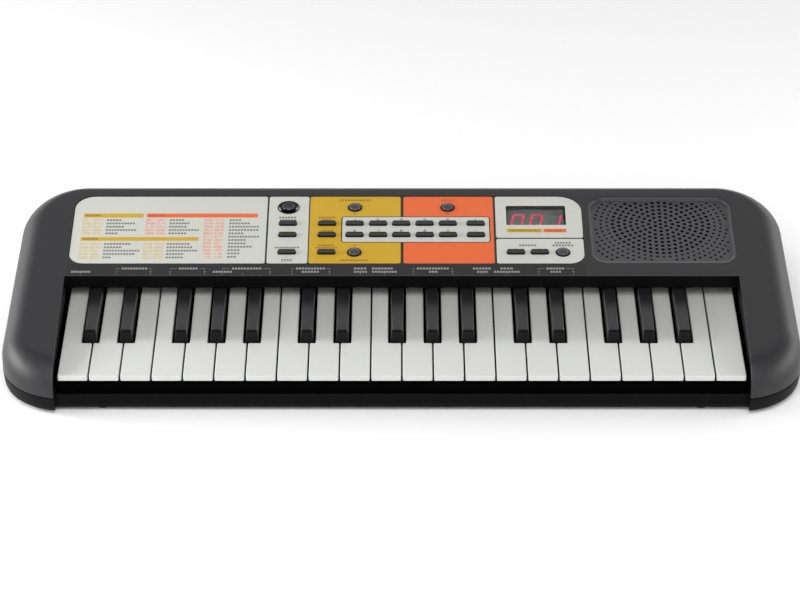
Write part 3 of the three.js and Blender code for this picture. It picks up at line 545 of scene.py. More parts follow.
def shoulder_rings(wall, deck_wall, foot_rings, stop, steps):
    """Rings of a case wall from the seam, over the rounded shoulder, to the deck."""
    rings = [case_ring(wall + inset, wall + inset, wall + inset, lambda y, z=z: z, stop)
             for z, inset in foot_rings]
    for step in range(steps + 1):
        turn = step / steps * math.pi / 2
        inward = 1 - math.cos(turn)
        drop = (SHOULDER - deck_wall) * (1 - math.sin(turn)) + deck_wall
        rings.append(case_ring(
            wall + (SIDE_ROUND - wall) * inward,
            wall + (FRONT_ROUND - wall) * inward,
            wall + (BACK_ROUND - wall) * inward,
            lambda y, drop=drop: min(deck_height(y) - drop, HEIGHT),
            stop,
        ))
    return rings


def profile_normals(points):
    """Outward normals, in the plane of a cheek's wall, along its edge."""
    normals = []
    for i in range(len(points)):
        along = points[min(i + 1, len(points) - 1)] - points[max(i - 1, 0)]
        normals.append(Vector((0, -along.z, along.y)).normalized())
    return normals


VENT_SHIFT = 8.6  # middle of the vents' rings behind the middle of the dish
VENT_PITCH, VENT_RINGS = 3.95, 16
VENT_INNER = 34  # inside this radius the vents are larger
VENT_RADIUS, OUTER_VENT_RADIUS = 1.22, 0.9
VENT_REACH_X, VENT_REACH_UP, VENT_CORNER = GRILLE_WIDTH / 2 - 3.2, GRILLE_LENGTH / 2 - 4.3, 8
VENT_MIDDLE = 1.1  # middle of the field of vents behind the middle of the dish


def vent_places():
    """Round vents on rings, kept inside a rounded rectangle: x, up and radius of each."""
    places = []
    for ring in range(VENT_RINGS):
        count = max(1, ring * 6)
        for i in range(count):
            angle = (i + (ring % 2) / 2) / count * 2 * math.pi
            x, up = ring * VENT_PITCH * math.cos(angle), ring * VENT_PITCH * math.sin(angle)
            over_x = abs(x) - VENT_REACH_X + VENT_CORNER
            over_up = abs(up + VENT_SHIFT - VENT_MIDDLE) - VENT_REACH_UP + VENT_CORNER
            if Vector((max(over_x, 0), max(over_up, 0))).length <= VENT_CORNER:
                radius = VENT_RADIUS if math.hypot(x, up) < VENT_INNER else OUTER_VENT_RADIUS
                places.append((GRILLE_X + x, GRILLE_UP + VENT_SHIFT + up, radius))
    return places


def build_top_shell():
    skin = Skin()
    stop = SLOT_HALF + EDGE
    seam_round = [(SEAM, 0.5), (SEAM + 0.15, 0.2), (SEAM + 0.5, 0), (SEAM + 1.2, 0)]
    outer = [skin.ring(ring) for ring in shoulder_rings(0, 0, seam_round, stop, 16)]
    skin.stack(outer, closed=False)
    inner_stop = SLOT_HALF + WALL
    inner = [skin.ring(ring) for ring in shoulder_rings(WALL, DECK_WALL, [(SEAM, 0)], inner_stop, 6)]
    skin.stack([ring[::-1] for ring in inner], closed=False)
    deck_ring = [skin.points[k] for k in outer[-1]]
    under_ring = [skin.points[k] for k in inner[-1]]

    # The rounded edge that runs up one cheek, along the slot's back edge and down the other cheek.
    right_edge = [skin.points[ring[0]] for ring in outer]
    left_edge = [skin.points[ring[-1]] for ring in outer]
    deck_front = (SLOT_BACK - DECK_START) / math.cos(DECK_TILT)
    edge_up = deck_front + EDGE
    corners = [on_deck(stop, edge_up), on_deck(-stop, edge_up)]
    right_normals = profile_normals(right_edge)
    right_normals[-1] = DECK_OUT
    steps = 5
    edge_path = (
        [(p, n, -RIGHT) for p, n in zip(right_edge, right_normals)]
        + [(corners[0], DECK_OUT, -RIGHT - DECK_UP), (corners[1], DECK_OUT, RIGHT - DECK_UP)]
        + [(p, n, RIGHT) for p, n in zip(reversed(left_edge), reversed(right_normals))]
    )
    edge_rings = []
    for step in range(steps + 1):
        turn = step / steps * math.pi / 2
        edge_rings.append(skin.ring([
            p + inward * EDGE * math.sin(turn) - normal * EDGE * (1 - math.cos(turn))
            for p, normal, inward in edge_path
        ]))
    # The last rows of this rounding, turning down into the slot, are painted with shade.
    for i, (high, low) in enumerate(zip(edge_rings, edge_rings[1:])):
        skin.bridge(low, high, closed=False, finish=1 if i >= steps - 1 else 0)
    wall_edge = [skin.points[k] for k in edge_rings[-1]]

    # The slot's walls; the faces towards the slot are in the plastic with painted shade.
    back_y = from_front(SLOT_BACK)
    behind_y = back_y + WALL
    under_up = deck_front + (WALL - DECK_WALL * math.sin(DECK_TILT)) / math.cos(DECK_TILT)
    under_z = on_deck(0, under_up, -DECK_WALL).z
    count = len(right_edge)
    for side, profile in ((1, wall_edge[:count + 1]), (-1, wall_edge[count + 1:][::-1])):
        flat = [(p.y, p.z) for p in profile]
        flat[-1] = (back_y, profile[-1].z)
        foot = [(back_y, SKIRT_FOOT), (behind_y, SKIRT_FOOT), (behind_y, SEAM)]
        for x, finish, flip in ((SLOT_HALF, 1, side > 0), (inner_stop, 0, side < 0)):
            edge = flat + foot
            if x == inner_stop:
                edge = [(p.y, p.z) for p in (skin.points[ring[0]] for ring in inner)]
                edge += [(behind_y, under_z), (behind_y, SEAM)]
            skin.sheet(edge, [], lambda y, z, x=x: (side * x, y, z), flip=flip, finish=finish)
        sill = [(SLOT_HALF, flat[0][0]), (inner_stop, edge[0][0]), (inner_stop, behind_y),
                (SLOT_HALF, behind_y)]
        skin.sheet(sill, [], lambda x, y: (side * x, y, SEAM), flip=side > 0)
        rear = [(SLOT_HALF, SEAM), (inner_stop, SEAM), (inner_stop, under_z), (SLOT_HALF, under_z),
                (SLOT_HALF, SKIRT_FOOT)]
        skin.sheet(rear, [], lambda x, z: (side * x, behind_y, z), flip=side > 0)
    top_right, top_left = wall_edge[count], wall_edge[count + 1]
    across = [(SLOT_HALF, top_right), (-SLOT_HALF, top_left)]
    # The skirt over the key tails is painted with shade.
    skirt = [skin.ring([(x, p.y, p.z) for x, p in across])]
    skirt += [skin.ring([(x, y, z) for x, _ in across])
              for y, z in ((back_y, SKIRT_FOOT), (behind_y, SKIRT_FOOT), (behind_y, under_z))]
    skin.stack([ring[::-1] for ring in skirt], closed=False, finish=1)

    # The seam face between the outer and inner walls.
    skin.bridge(inner[0], outer[0], closed=False)

    def deck_flat(points):
        return [(p.x, deck_up_of(p)) for p in points]

    # The panel's pocket: edge, wall, ledge and opening.
    def panel_outline(margin):
        return rectangle(PANEL_LEFT, PANEL_FRONT, PANEL_WIDTH, PANEL_LENGTH, PANEL_CORNERS, margin, 10)

    pocket = [(0.62, 0), (0.5, -0.02), (0.36, -0.12), (GAP, -0.3), (GAP, PANEL_BACK - 0.1),
              (-PANEL_LEDGE, PANEL_BACK - 0.1), (-PANEL_LEDGE, -DECK_WALL)]
    skin.stack([skin.ring([on_deck(x, up, out) for x, up in panel_outline(margin)])
                for margin, out in pocket][::-1], finish=0)

    # The speaker's dish: a soft edge, a slope and a floor full of vents.
    def grille_outline(margin, lean=0.0):
        """The dish's outline, its front edge drawn in by the lean and its back edge left where it is."""
        ring = rectangle(GRILLE_LEFT, GRILLE_FRONT, GRILLE_WIDTH, GRILLE_LENGTH, [GRILLE_RADIUS] * 4,
                         margin, 12)
        return [(x, up + lean * (GRILLE_UP - up) / GRILLE_LENGTH + lean / 2) for x, up in ring]

    dish = [(0.9, 0, 0), (0.5, -0.05, 0), (0.15, -0.2, 0), (-0.2, -0.45, 0.1), (-0.75, -1.0, 0.4),
            (-1.1, -1.55, 0.9), (-1.4, -1.9, 1.4), (-1.7, -2.1, 1.9), (-2.0, -GRILLE_RECESS, 2.3)]
    skin.stack([skin.ring([on_deck(x, up, out) for x, up in grille_outline(margin, lean)])
                for margin, out, lean in dish][::-1])
    backing = grille_outline(GRILLE_RIM)
    under = -GRILLE_RECESS - GRILLE_FLOOR
    skin.bridge(skin.ring([on_deck(x, up, under) for x, up in backing]),
                skin.ring([on_deck(x, up, -DECK_WALL) for x, up in backing]))
    vents = [circle(x, up, radius, 12) for x, up, radius in vent_places()]
    # The vents' walls are painted with shade.
    for vent in vents:
        skin.bridge(skin.ring([on_deck(x, up, -GRILLE_RECESS) for x, up in vent]),
                    skin.ring([on_deck(x, up, under) for x, up in vent]), finish=1)
    skin.sheet(grille_outline(dish[-1][0], dish[-1][2]), vents, lambda x, up: on_deck(x, up, -GRILLE_RECESS),
               finish=2)
    skin.sheet(backing, vents, lambda x, up: on_deck(x, up, under), flip=True)

    # The deck and its underside.
    skin.sheet(deck_flat(deck_ring) + [(-stop, edge_up), (stop, edge_up)],
               [panel_outline(pocket[0][0]), grille_outline(dish[0][0])], on_deck)
    skin.sheet(deck_flat(under_ring) + [(-inner_stop, under_up), (inner_stop, under_up)],
               [panel_outline(-PANEL_LEDGE), backing], lambda x, up: on_deck(x, up, -DECK_WALL), flip=True)
    make_piece("top_shell", skin, [BODY, WALL_SHADE_PLASTIC, GRILLE_PLASTIC], "case",
               ["top_case"], sharp=35)


build_top_shell()


# ---- Bottom shell ----
def carve(piece, operation, others):
    """Joins or cuts a piece with others, which are then removed."""
    for other in others:
        change = piece.modifiers.new("carving", "BOOLEAN")
        change.operation = operation
        change.object = other
        change.solver = "EXACT"
    bpy.context.view_layer.update()
    carved = bpy.data.meshes.new_from_object(piece.evaluated_get(bpy.context.evaluated_depsgraph_get()))
    piece.modifiers.clear()
    piece.data = carved
    for other in others:
        bpy.data.objects.remove(other)


def loose_box(low, high):
    skin = Skin()
    skin.box(low, high)
    return loose("block", skin)


def full_ring(inset, z):
    """The whole outline of the case at one level, drawn in all round."""
    reach, points = CORNER - inset, []
    for sx, sy, start in ((1, -1, -0.5), (1, 1, 0), (-1, 1, 0.5), (-1, -1, 1)):
        for step in range(RING_STEPS + 1):
            angle = math.pi * (start + step / RING_STEPS / 2)
            y = sy * (DEPTH / 2 - CORNER) + reach * math.sin(angle) - (CHEEK_LEAN if sy < 0 else 0)
            points.append((sx * (WIDTH / 2 - CORNER - taper(y)) + reach * math.cos(angle), y, z))
    return points


def shell_form(levels, materials=()):
    """A solid of the case's outline: levels gives each height and how far it is drawn in there."""
    skin = Skin()
    rings = [skin.ring(full_ring(inset, z)) for z, inset in levels]
    skin.stack(rings)
    skin.face(rings[0][::-1])
    skin.face(rings[-1])
    return loose("shell_form", skin, materials)


FLOOR_TOP = UNDERSIDE + FLOOR
LIP_SETBACK, LIP_WALL, LIP_TOP, LIP_ROUND, LIP_CHAMFER = 6.4, 2.4, 12.2, 0.9, 0.6
BAY_HALF, BAY_FRONT, BAY_LENGTH, BAY_DEPTH, BAY_WALL = 30, 139.5, 57, 16, 1.8
COVER_LOW, COVER_HIGH = node_box("battery_cover")
RAIL = 1.2  # how far the cover's side rails stand out
FOOT_NODES = [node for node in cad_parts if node.startswith("foot_")]
FOOT_PLUG = 2
SCREW_WELL, SCREW_SEAT = 3.4, UNDERSIDE + 1.7
SCREW_PLACES = [(x, from_front(y)) for x in (-178, -60, 60, 178) for y in (30, 120)]
SCREW_PLACES += [(x, from_front(100)) for x in (-228, 228)]


def lip_bar():
    """The bar in front of the keys, with its rounded upper edge, all in the plastic painted with the shade
    under the keys.
    """
    skin = Skin()
    half = SLOT_HALF - GAP
    front, back = from_front(LIP_SETBACK), from_front(LIP_SETBACK + LIP_WALL)
    profile = [(back, UNDERSIDE), (front + LIP_CHAMFER, UNDERSIDE), (front, UNDERSIDE + LIP_CHAMFER)]
    for step in range(6):
        turn = step / 5 * math.pi / 2
        profile.append((front + LIP_ROUND * (1 - math.cos(turn)), LIP_TOP - LIP_ROUND * (1 - math.sin(turn))))
    profile += [(back - 0.3, LIP_TOP), (back, LIP_TOP - 0.3)]
    ends = [skin.ring([(x, y, z) for y, z in profile]) for x in (-half, half)]
    skin.bridge(ends[0], ends[1], finish=1)
    skin.face(ends[0][::-1], 1)
    skin.face(ends[1], 1)
    return loose("lip_bar", skin, [LOWER_SHELL_SHADE_PLASTIC, WALL_SHADE_PLASTIC])


def build_bottom_shell():
    top = SEAM - GAP
    levels = [(UNDERSIDE + rise, inset) for rise, inset in (
        (0, 2), (0.15, 1.6), (0.5, 1.3), (2, 0.7), (4, 0.4), (6, 0.22), (8.2, 0.08))]
    levels += [(top - 0.5, 0), (top - 0.15, 0.15), (top, 0.5)]
    # The lower shell takes the darker copy of the case plastic, its shade painted in.
    shell = shell_form(levels, [LOWER_SHELL_SHADE_PLASTIC, WALL_SHADE_PLASTIC])
    shell.name = "bottom_shell"
    carve(shell, "DIFFERENCE", [shell_form([(FLOOR_TOP, WALL + 0.3), (top + 2, WALL + 0.3)])])
    half = SLOT_HALF - GAP
    walls = [loose_box((middle - WALL / 2, from_front(2.6), FLOOR_TOP - 1),
                       (middle + WALL / 2, from_front(LIP_SETBACK + LIP_WALL), top - 0.2))
             for middle in (-half - WALL / 2, half + WALL / 2)]
    carve(shell, "UNION", walls)
    carve(shell, "DIFFERENCE", [loose_box((-half, from_front(-3), 0), (half, from_front(LIP_SETBACK), 60))])
    bay_back = BAY_FRONT + BAY_LENGTH
    outer_half = BAY_HALF + BAY_WALL
    outer_bay = loose_box((-outer_half, from_front(BAY_FRONT - BAY_WALL), FLOOR_TOP - 1),
                          (outer_half, from_front(bay_back + BAY_WALL), FLOOR_TOP + BAY_DEPTH + BAY_WALL))
    carve(shell, "UNION", [lip_bar(), outer_bay])
    bay = loose_box((-BAY_HALF, from_front(BAY_FRONT), UNDERSIDE - 1),
                    (BAY_HALF, from_front(bay_back), FLOOR_TOP + BAY_DEPTH))
    channel = loose_box((COVER_LOW.x + RAIL - GAP, COVER_LOW.y - GAP, UNDERSIDE - 1),
                        (COVER_HIGH.x - RAIL + GAP, DEPTH / 2 + 1, UNDERSIDE + 2 + GAP))
    grooves = loose_box((COVER_LOW.x - GAP, COVER_LOW.y - GAP, UNDERSIDE + 0.3),
                        (COVER_HIGH.x + GAP, DEPTH / 2 + 1, UNDERSIDE + 1.7))
    carve(shell, "DIFFERENCE", [bay, channel, grooves])
    wells = Skin()
    for x, y in SCREW_PLACES:
        wells.turned([(SCREW_WELL, UNDERSIDE - 1), (SCREW_WELL, SCREW_SEAT)], standing_at(x, y), 24)
    for node in FOOT_NODES:
        middle = sum(node_box(node), Vector()) / 2
        wells.turned([(FOOT_PLUG + GAP, UNDERSIDE - 1), (FOOT_PLUG + GAP, FLOOR_TOP + 1)],
                     standing_at(middle.x, middle.y), 16)
    carve(shell, "DIFFERENCE", [loose("wells", wells)])
    finish_piece(shell, "case", ["bottom_case"], sharp=30)


build_bottom_shell()


# ---- Screws in the underside ----
def build_screws():
    for number, (x, y) in enumerate(SCREW_PLACES, 1):
        skin = Skin()
        head = [(2.6, -0.01), (2.6, 0.7), (2.2, 1.1), (0.9, 1.2), (0.7, 0.5)]
        skin.turned([(radius, SCREW_SEAT - drop) for radius, drop in head], standing_at(x, y), 24)
        make_piece(f"case_screw_{number}", skin, [SCREW_STEEL], "case")


build_screws()


# ---- Feet ----
for foot_node in FOOT_NODES:
    foot_low, foot_high = node_box(foot_node)
    foot_middle = (foot_low + foot_high) / 2
    foot_skin = Skin()
    foot_skin.turned(
        [(4.2, 0.25), (4.5, 0), (4.9, 0.05), (5.2, 0.4), (5.5, UNDERSIDE - 0.7), (5.4, UNDERSIDE - GAP),
         (FOOT_PLUG, UNDERSIDE - GAP), (FOOT_PLUG, foot_high.z)],
        standing_at(foot_middle.x, foot_middle.y), 32)
    make_piece(f"{foot_node}_pad", foot_skin, [FOOT_RUBBER], "case", [foot_node])


# ---- Keys ----
KEY_THICKNESS, KEY_SKIN, KEY_SIDE = 3.6, 1.5, 1.2
HEAD_LENGTH, NOTCH = 38.5, 11.3  # a white key's full-width part, and the room for a black key
HEAD_CORNER, NECK_CORNER, TAIL_CORNER = 1.1, 0.7, 0.4
KEY_EDGE = [(0.75, 0), (0.36, 0.1), (0.1, 0.34), (0, 0.75)]  # how far below the top and how far drawn in
PIVOT_BACK, PIVOT_HEIGHT, KNUCKLE, KNUCKLE_HALF = 132, 19.6, 2.2, 3
STEM_BACK, STEM_FOOT, STEM = 92, 15.6, 4
BLACK_HALF, BLACK_FRONT_HALF, BLACK_BACK_HALF = 4.4, 3.325, 3.85  # at the foot, and of the top's two ends
# The band at the top of the nose is painted shade.
NOSE_RUN, NOSE_SHARE = 2.8, 0.87  # how far the nose leans back, and the share of it below its band
BLACK_CROWN, BLACK_FALL, BLACK_STEPS = 0.35, 0.5, 8  # the top's rise from the front and fall to the back
WHITE_NODES = sorted(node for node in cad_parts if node.startswith("white_key"))
BLACK_NODES = sorted(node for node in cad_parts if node.startswith("black_key"))
BLACK_MIDDLES = [sum(corner.x for corner in node_box(node)) / 2 for node in BLACK_NODES]


def key_works(skin, x, stem_top, key_top):
    """The knuckle that a key turns on, its web, and the stem that works its contact."""
    pivot_y = from_front(PIVOT_BACK)
    left, right = x - KNUCKLE_HALF, x + KNUCKLE_HALF
    ends = [skin.ring([(end, y, z) for y, z in circle(pivot_y, PIVOT_HEIGHT, KNUCKLE, 16)])
            for end in (left, right)]
    skin.bridge(*ends)
    skin.face(ends[0])
    skin.face(ends[1])
    skin.box((left, pivot_y - KEY_SIDE, PIVOT_HEIGHT), (right, pivot_y + KEY_SIDE, key_top - KEY_SKIN / 2))
    stem_y = from_front(STEM_BACK)
    skin.box((x - STEM / 2, stem_y - STEM / 2, STEM_FOOT), (x + STEM / 2, stem_y + STEM / 2, stem_top))


def build_white_key(node):
    low, high = node_box(node)
    left, right, front, back, top = low.x, high.x, low.y, high.y, high.z
    neck = front + HEAD_LENGTH
    tail_left, tail_right = left, right
    for middle in BLACK_MIDDLES:
        if abs(middle - left) < NOTCH / 2:
            tail_left = middle + NOTCH / 2
        if abs(middle - right) < NOTCH / 2:
            tail_right = middle - NOTCH / 2
    plan = [(left, front), (right, front)]
    radii = [HEAD_CORNER] * 2
    if tail_right < right:
        plan += [(right, neck), (tail_right, neck)]
        radii += [NECK_CORNER] * 2
    plan += [(tail_right, back), (tail_left, back)]
    radii += [TAIL_CORNER] * 2
    if tail_left > left:
        plan += [(tail_left, neck), (left, neck)]
        radii += [NECK_CORNER] * 2
    outline = rounded(plan, radii, 4)
    hollow = shrunk(outline, KEY_SIDE)
    skin = Skin()
    foot = top - KEY_THICKNESS
    edges = [(top - drop, shrunk(outline, inset) if inset else outline) for drop, inset in KEY_EDGE]
    skin.stack([skin.ring([(x, y, z) for x, y in edge]) for z, edge in [(foot, outline), *edges]])
    skin.sheet(edges[-1][1], [], lambda x, y: (x, y, top))
    skin.sheet(outline, [hollow], lambda x, y: (x, y, foot), flip=True)
    skin.bridge(skin.ring([(x, y, top - KEY_SKIN) for x, y in hollow]),
                skin.ring([(x, y, foot) for x, y in hollow]))
    skin.sheet(hollow, [], lambda x, y: (x, y, top - KEY_SKIN), flip=True)
    key_works(skin, (tail_left + tail_right) / 2, top - KEY_SKIN / 2, top)
    make_piece(f"{node}_cap", skin, [WHITE_KEY], node, [node], sharp=45)


def build_black_key(node):
    low, high = node_box(node)
    x, front, back, roof = (low.x + high.x) / 2, low.y, high.y, high.z
    white_top = node_box("white_key_c1")[1].z
    foot = white_top - KEY_THICKNESS
    cap_back = from_front(SLOT_BACK) + WALL + 1
    skin = Skin()
    rows = []
    for i in range(BLACK_STEPS + 1):
        share = i / BLACK_STEPS
        low_side = Vector((BLACK_HALF, front + (cap_back - front) * share, foot))
        high_side = Vector((
            BLACK_FRONT_HALF + (BLACK_BACK_HALF - BLACK_FRONT_HALF) * share,
            front + NOSE_RUN + (cap_back - front - NOSE_RUN) * share,
            roof + 0.2 - BLACK_CROWN * (1 - share) ** 2 - BLACK_FALL * share**2,
        ))
        sides = [low_side.lerp(high_side, rise) for rise in (0, NOSE_SHARE, 1)]
        rows.append(skin.ring([(x - p.x, p.y, p.z) for p in sides]
                              + [(x + p.x, p.y, p.z) for p in reversed(sides)]))
    for row, following in zip(rows, rows[1:]):
        skin.bridge(following, row)
    nose = rows[0]
    # The nose below the band: its grain is real, its darker colour painted shade.
    skin.face([nose[0], nose[5], nose[4], nose[1]], 1)
    # The band at the top of the nose: painted shade.
    skin.face([nose[1], nose[4], nose[3], nose[2]], 2)
    skin.face(rows[-1])
    skin.box((x - BLACK_HALF, cap_back - 1, foot), (x + BLACK_HALF, back, white_top))
    key_works(skin, x, foot + 0.5, white_top)
    make_piece(f"{node}_cap", skin, [BLACK_KEY, BLACK_NOSE_SHADED, NOSE_SHADE_BAND], node, [node],
               bevel=(0.55, 3))


for key_node in WHITE_NODES:
    build_white_key(key_node)
for key_node in BLACK_NODES:
    build_black_key(key_node)


# ---- Control panel ----
BAR_WIDTH, BAR_LENGTH, SLIP = 11.4, 4.2, 0.4
ROW_FRONT, ROW_LOW, ROW_HIGH, ROW_BACK = 27.05, 45.8, 58.25, 76.15
PAD_COLUMNS = (-31, -15.6, -0.4, 15, 30.3, 48.6)
POWER_X, TEMPO_X, STYLE_X, VOICE_X, KIT_X = -75, -49.2, -31, 30.3, 104.9
OCTAVE_COLUMNS = (74.3, 89.8)
BAR_SETS = {
    "volume_buttons": [(POWER_X, up) for up in (ROW_FRONT, ROW_LOW, ROW_HIGH)],
    "tempo_buttons": [(TEMPO_X, up) for up in (ROW_FRONT, ROW_LOW, ROW_HIGH)],
    "number_pad": [(x, up) for x in PAD_COLUMNS for up in (ROW_LOW, ROW_HIGH)],
    "octave_buttons": [(x, ROW_FRONT) for x in OCTAVE_COLUMNS],
}
ROUND_BUTTONS = {
    "power_button": (POWER_X, ROW_BACK, 4.2),
    "style_button": (STYLE_X, ROW_BACK, 4.5),
    "start_stop_button": (STYLE_X, ROW_FRONT, 4.5),
    "voice_button": (VOICE_X, ROW_BACK, 4.5),
    "drum_kit_button": (KIT_X, ROW_FRONT, 4.5),
}
CUP_RADIUS = 7.3
CUP_GLUE = 0.4  # how much narrower than the cup's rim its hole is
WINDOW_LEFT, WINDOW_WIDTH, WINDOW_FRONT, WINDOW_LENGTH = 69, 39, 57.05, 20.9


def bar_outline(x, up, margin=0.0, steps=5):
    return rectangle(x - BAR_WIDTH / 2, up - BAR_LENGTH / 2, BAR_WIDTH, BAR_LENGTH, [1.1] * 4, margin, steps)


def openings():
    """Every hole in the panel: its outline and the middle of it."""
    holes = [((x, up), bar_outline(x, up, SLIP)) for places in BAR_SETS.values() for x, up in places]
    for name, (x, up, radius) in ROUND_BUTTONS.items():
        reach = CUP_RADIUS - CUP_GLUE if name == "power_button" else radius + SLIP
        holes.append(((x, up), circle(x, up, reach, 32)))
    window = rectangle(WINDOW_LEFT, WINDOW_FRONT, WINDOW_WIDTH, WINDOW_LENGTH, [0.8] * 4, 0.1)
    holes.append(((WINDOW_LEFT + 1, WINDOW_FRONT + 1), window))
    return holes


PANEL_HOLES = openings()


PAD_LEFT, PAD_RIGHT, PAD_FRONT, PAD_BACK = -39.1, 57.4, 38.4, 65.5  # the pale block round the number pad


def holes_in_block(name, points):
    """The holes inside a printed block, those of the number pad only for the pad's own block."""
    xs, ups = zip(*points)
    inside = [(spot, hole) for spot, hole in PANEL_HOLES
              if min(xs) < spot[0] < max(xs) and min(ups) < spot[1] < max(ups)]
    on_pad = [PAD_LEFT < x < PAD_RIGHT and PAD_FRONT < up < PAD_BACK for (x, up), _ in inside]
    return [hole for (_, hole), pad in zip(inside, on_pad) if not pad or name == "number_block"]


def build_panel():
    skin = Skin()
    outline = rectangle(PANEL_LEFT, PANEL_FRONT, PANEL_WIDTH, PANEL_LENGTH, PANEL_CORNERS, 0, 10)
    skin.slab(outline, [hole for _, hole in PANEL_HOLES], PANEL_BACK, PANEL_FACE - PRINT, on_deck, bevel=0.08)
    make_piece("panel_plate", skin, [PLATE], "case", ["control_panel"])

    front, back = PANEL_FRONT + 0.25, PANEL_FRONT + PANEL_LENGTH - 0.25
    left, right = PANEL_LEFT + 0.25, PANEL_LEFT + PANEL_WIDTH - 0.25
    small, sharp, nook = 1.6, 0.05, 2.4  # radii of the blocks' corners
    line = 0.75  # dark line around the number pad
    yellow_right, orange_left, split = -0.8, 1.1, (41.65, 42.95)
    pad_low, pad_high = PAD_FRONT - line, PAD_BACK + line
    blocks = {
        "label_block": (PRINT_WHITE, quad(left, front, -89, back), [9.7, small, small, 13.2]),
        "power_block": (PRINT_WHITE, quad(-87.8, front, -61.4, back), [small]),
        "yellow_block": (
            PRINT_YELLOW,
            [(-60.6, front), (yellow_right, front), (yellow_right, pad_low), (PAD_LEFT - line, pad_low),
             (PAD_LEFT - line, pad_high), (yellow_right, pad_high), (yellow_right, back), (-60.6, back)],
            [small, small, sharp, nook, nook, sharp, small, small]),
        "orange_block": (
            PRINT_ORANGE,
            [(orange_left, front), (60.3, front), (60.3, back), (orange_left, back), (orange_left, pad_high),
             (PAD_RIGHT + line, pad_high), (PAD_RIGHT + line, pad_low), (orange_left, pad_low)],
            [small, small, small, small, sharp, nook, nook, sharp]),
        "number_block": (PRINT_WHITE, quad(PAD_LEFT, PAD_FRONT, PAD_RIGHT, PAD_BACK), [1.7]),
        "display_block": (PRINT_WHITE, quad(61.8, split[1], right, back), [small, small, 15.7, small]),
        "octave_block": (PRINT_WHITE, quad(61.8, front, right, split[0]), [small, 9.7, small, small]),
    }
    for name, (material, points, radii) in blocks.items():
        skin = Skin()
        skin.slab(rounded(points, radii, 8), holes_in_block(name, points), PANEL_FACE - PRINT - 0.01,
                  PANEL_FACE, on_deck, bevel=0.03)
        make_piece(name, skin, [material], "case", weld=0.0005)


build_panel()


# ---- Marks printed on the panel: rules, rows of short bars, digits and signs ----
LETTER, LETTER_SPACE, LIST_PITCH = 1.9, 0.5, 3.64


class Marks:
    """Ink on the deck: thin raised patches, gathered by colour."""

    def __init__(self, face):
        self.skins = {}
        self.face = face

    def patch(self, ink, points, radii=(0.02,), steps=1):
        skin = self.skins.setdefault(ink, Skin())
        outline = rounded(points, radii, steps)
        skin.slab(outline, [], self.face, self.face + INK, on_deck)

    def block(self, ink, x0, up0, x1, up1, radius=0.02):
        self.patch(ink, quad(x0, up0, x1, up1), (radius,), 3 if radius > 0.1 else 1)

    def words(self, ink, x0, x1, up):
        """A row of small blocks from x0 to x1, one where each letter of a word would stand."""
        count = max(1, round((x1 - x0 + LETTER_SPACE) / LETTER))
        pitch = (x1 - x0 + LETTER_SPACE) / count
        for i in range(count):
            left = x0 + i * pitch
            self.block(ink, left, up - LETTER / 2, left + pitch - LETTER_SPACE, up + LETTER / 2, 0.2)

    def triangle(self, ink, x, up, size, point_up):
        turn = size if point_up else -size
        self.patch(ink, [(x - turn, up), (x + turn, up), (x, up + turn)], (0.05,))

    def digits(self, ink, text, x, up, height):
        """Plain seven-stroke numerals."""
        width, stroke = height * 0.6, height * 0.19
        strokes = {"a": (0, 1, 1, 1), "d": (0, 0, 1, 0), "g": (0, 0.5, 1, 0.5),
                   "b": (1, 0.5, 1, 1), "c": (1, 0, 1, 0.5), "e": (0, 0, 0, 0.5), "f": (0, 0.5, 0, 1)}
        shapes = {"0": "abcdef", "1": "bc", "2": "abged", "3": "abgcd", "4": "fgbc", "5": "afgcd",
                  "6": "afgedc", "7": "abc", "8": "abcdefg", "9": "abfgcd", "-": "g"}
        for character in text:
            for part in shapes.get(character, ""):
                x0, up0, x1, up1 = strokes[part]
                self.block(ink, x + x0 * width - stroke / 2, up + up0 * height - stroke / 2,
                           x + x1 * width + stroke / 2, up + up1 * height + stroke / 2)
            x += width + height * 0.38

    def build(self, prefix):
        for ink, skin in self.skins.items():
            make_piece(f"{prefix}_{ink}", skin, [INKS[ink]], "case", weld=0.0005)


INKS = {"gold": PRINT_YELLOW, "coral": PRINT_ORANGE}
INKS.update({ink: moulded(f"{ink}_ink", colour, 0.5, specular=0.3) for ink, colour in (
    ("dark", (116, 116, 110)), ("black", (62, 62, 60)), ("brown", (146, 110, 34)), ("rust", (184, 84, 48)),
    ("yellow", (214, 178, 86)), ("orange", (236, 134, 100)), ("light", (138, 138, 138)))})


def build_list(marks, ink, number_x, name_x, top_up, first, lengths):
    """A list of numbered rows: two numbers, a dash and a row of blocks."""
    for row, length in enumerate(lengths):
        up = top_up - row * LIST_PITCH
        number = first + row * 7
        marks.digits(ink, f"{number:03d}-{number + 6:03d}", number_x, up - LETTER / 2, LETTER)
        marks.words("dark", name_x, name_x + length, up)


